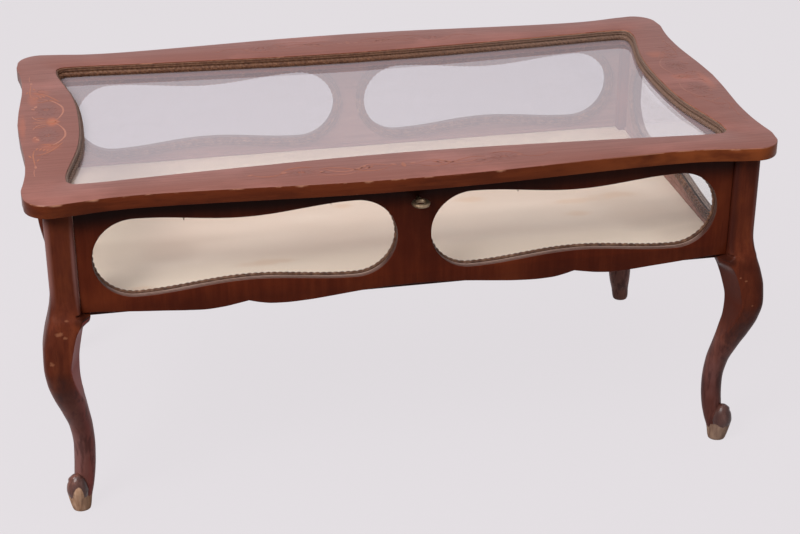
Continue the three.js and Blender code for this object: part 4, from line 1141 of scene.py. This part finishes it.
for depth in ("front", "back"):
    for side in ("left", "right"):
        add_leg(depth, side)
    add_panel(
        f"{depth}_panel", [f"{depth}_panel_left", f"{depth}_panel_right"],
        [f"{depth}_glazing_bead_left", f"{depth}_glazing_bead_right"],
    )
for side in ("left", "right"):
    add_panel(f"{side}_end_board", [f"{side}_end_panel"], [f"{side}_end_glazing_bead"])


# Silk lining: one cloth with low waves, notched at the corners for the posts, laid on the board
def silk_lining():
    low, high = corners("base_lining")
    half_x, half_y = float(high[0]), float(high[1])
    notch_x, notch_y = 437.7, 222.7

    def places(half, notch, edge, inside):
        return np.concatenate([
            np.linspace(-half, -notch, edge), np.linspace(-notch, notch, inside)[1:-1], np.linspace(notch, half, edge),
        ])

    xs, ys = places(half_x, notch_x, 4, 150), places(half_y, notch_y, 5, 74)
    vertices = []
    for x in xs:
        for y in ys:
            wave = (
                0.5 * math.sin(x / 61 + 0.8 * math.sin(y / 83)) * math.sin(y / 97 + 1.1)
                + 0.3 * math.sin(x / 23 - y / 140) + 0.2 * math.sin(y / 31 + x / 210)
            )
            vertices.append((x, y, (high[2] + low[2]) / 2 + 0.75 * wave))
    faces = []
    for i in range(len(xs) - 1):
        for j in range(len(ys) - 1):
            if abs(xs[i] + xs[i + 1]) / 2 < notch_x or abs(ys[j] + ys[j + 1]) / 2 < notch_y:
                here, ahead = i * len(ys) + j, (i + 1) * len(ys) + j
                faces.append((here, ahead, ahead + 1, here + 1))
    used, order = np.unique(faces, return_inverse=True)
    piece = mesh_piece("silk_lining", np.array(vertices)[used], order.reshape(-1, 4), silk, closed=False)
    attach(piece, "case")
    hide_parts("base_lining")


silk_lining()


# Quarter-round fillets that hold the lining's edges down against the panels
def add_fillet(name, along_x, sign, reach, face):
    foot = corners("base_lining")[1][2] + 0.2
    arc = [(face - 0.1 - 3.6 * math.cos(a), foot + 4.4 * math.sin(a)) for a in np.linspace(0, math.pi / 2, 7)]
    section = [(face - 0.1, foot), *arc]
    solid = tube([
        [(at, sign * out, up) if along_x else (sign * out, at, up) for out, up in section]
        for at in np.linspace(-reach, reach, 30)
    ])
    piece = mesh_piece(name, *solid, inner_wood)
    keep_creases(piece, 50)
    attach(piece, "case")


for label, along_x, sign, reach, face in (
    ("front", True, -1, 437.0, INSIDE_Y), ("back", True, 1, 437.0, INSIDE_Y),
    ("left", False, -1, 222.0, INSIDE_X), ("right", False, 1, 222.0, INSIDE_X),
):
    add_fillet(f"lining_fillet_{label}", along_x, sign, reach, face)


# Sprigs: small dark pins that hold the front panes at the top of their openings
def add_sprigs():
    pins = [
        tube([
            ((x - 0.9, y, z + 4), (x + 0.9, y, z + 4), (x + 0.5, y, z - 2.4), (x - 0.5, y, z - 2.4))
            for y in (-245.6, -244.4)
        ])
        for x, z in ((-299, 429.6), (-202, 427.6), (-109, 434.6), (141, 431.2), (244, 427.4))
    ]
    piece = mesh_piece("glazing_sprigs", *joined(pins), steel, smooth=False)
    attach(piece, "case")


add_sprigs()


# Floor: pale, seen at the backdrop's own tone, and darker where the table shades it
def add_floor():
    g = Graph("pale_floor")
    matt = g.add("BsdfDiffuse", {"Color": shade(120, 117, 119)})
    glow = g.add("Emission", {"Color": shade(246, 241, 245), "Strength": 1.0})
    material = g.finish(g.blend(g.product(g.seen(), 0.8), matt, glow))
    reach = 6000.0
    square = [(-reach, -reach, 0), (reach, -reach, 0), (reach, reach, 0), (-reach, reach, 0)]
    mesh_piece("floor", square, [(0, 1, 2, 3)], material, smooth=False, closed=False)


def add_world():
    g = Graph("world", "worlds")
    light = g.add("Background", {"Color": (1.0, 0.98, 0.97, 1.0), "Strength": 0.17})
    backdrop = g.add("Background", {"Color": shade(226, 221, 225)})
    bpy.context.scene.world = g.finish(g.blend(g.seen(), light, backdrop), "OutputWorld")


def add_lamp(name, place, aim, size, power):
    data = bpy.data.lights.new(name, "AREA")
    data.shape = "RECTANGLE"
    data.size, data.size_y = size
    data.energy = power
    lamp = bpy.data.objects.new(name, data)
    lamp.rotation_euler = (Vector(aim) - Vector(place)).to_track_quat("-Z", "Y").to_euler()
    lamp.location = place
    bpy.context.scene.collection.objects.link(lamp)


add_floor()
add_world()
add_lamp("softbox_above", (-0.2, -0.2, 3.0), (0.0, 0.0, 0.4), (3.0, 2.4), 46.0)
add_lamp("key_left", (-2.3, -2.2, 3.2), (0.0, 0.0, 0.3), (1.8, 1.8), 138.0)
add_lamp("strip_left", (-2.6, -1.0, 1.2), (0.0, 0.0, 0.3), (0.14, 1.6), 2.0)
add_lamp("strip_right", (2.4, -1.8, 1.2), (0.0, 0.0, 0.3), (0.12, 1.4), 2.0)

bpy.context.scene.view_settings.view_transform = "Standard"
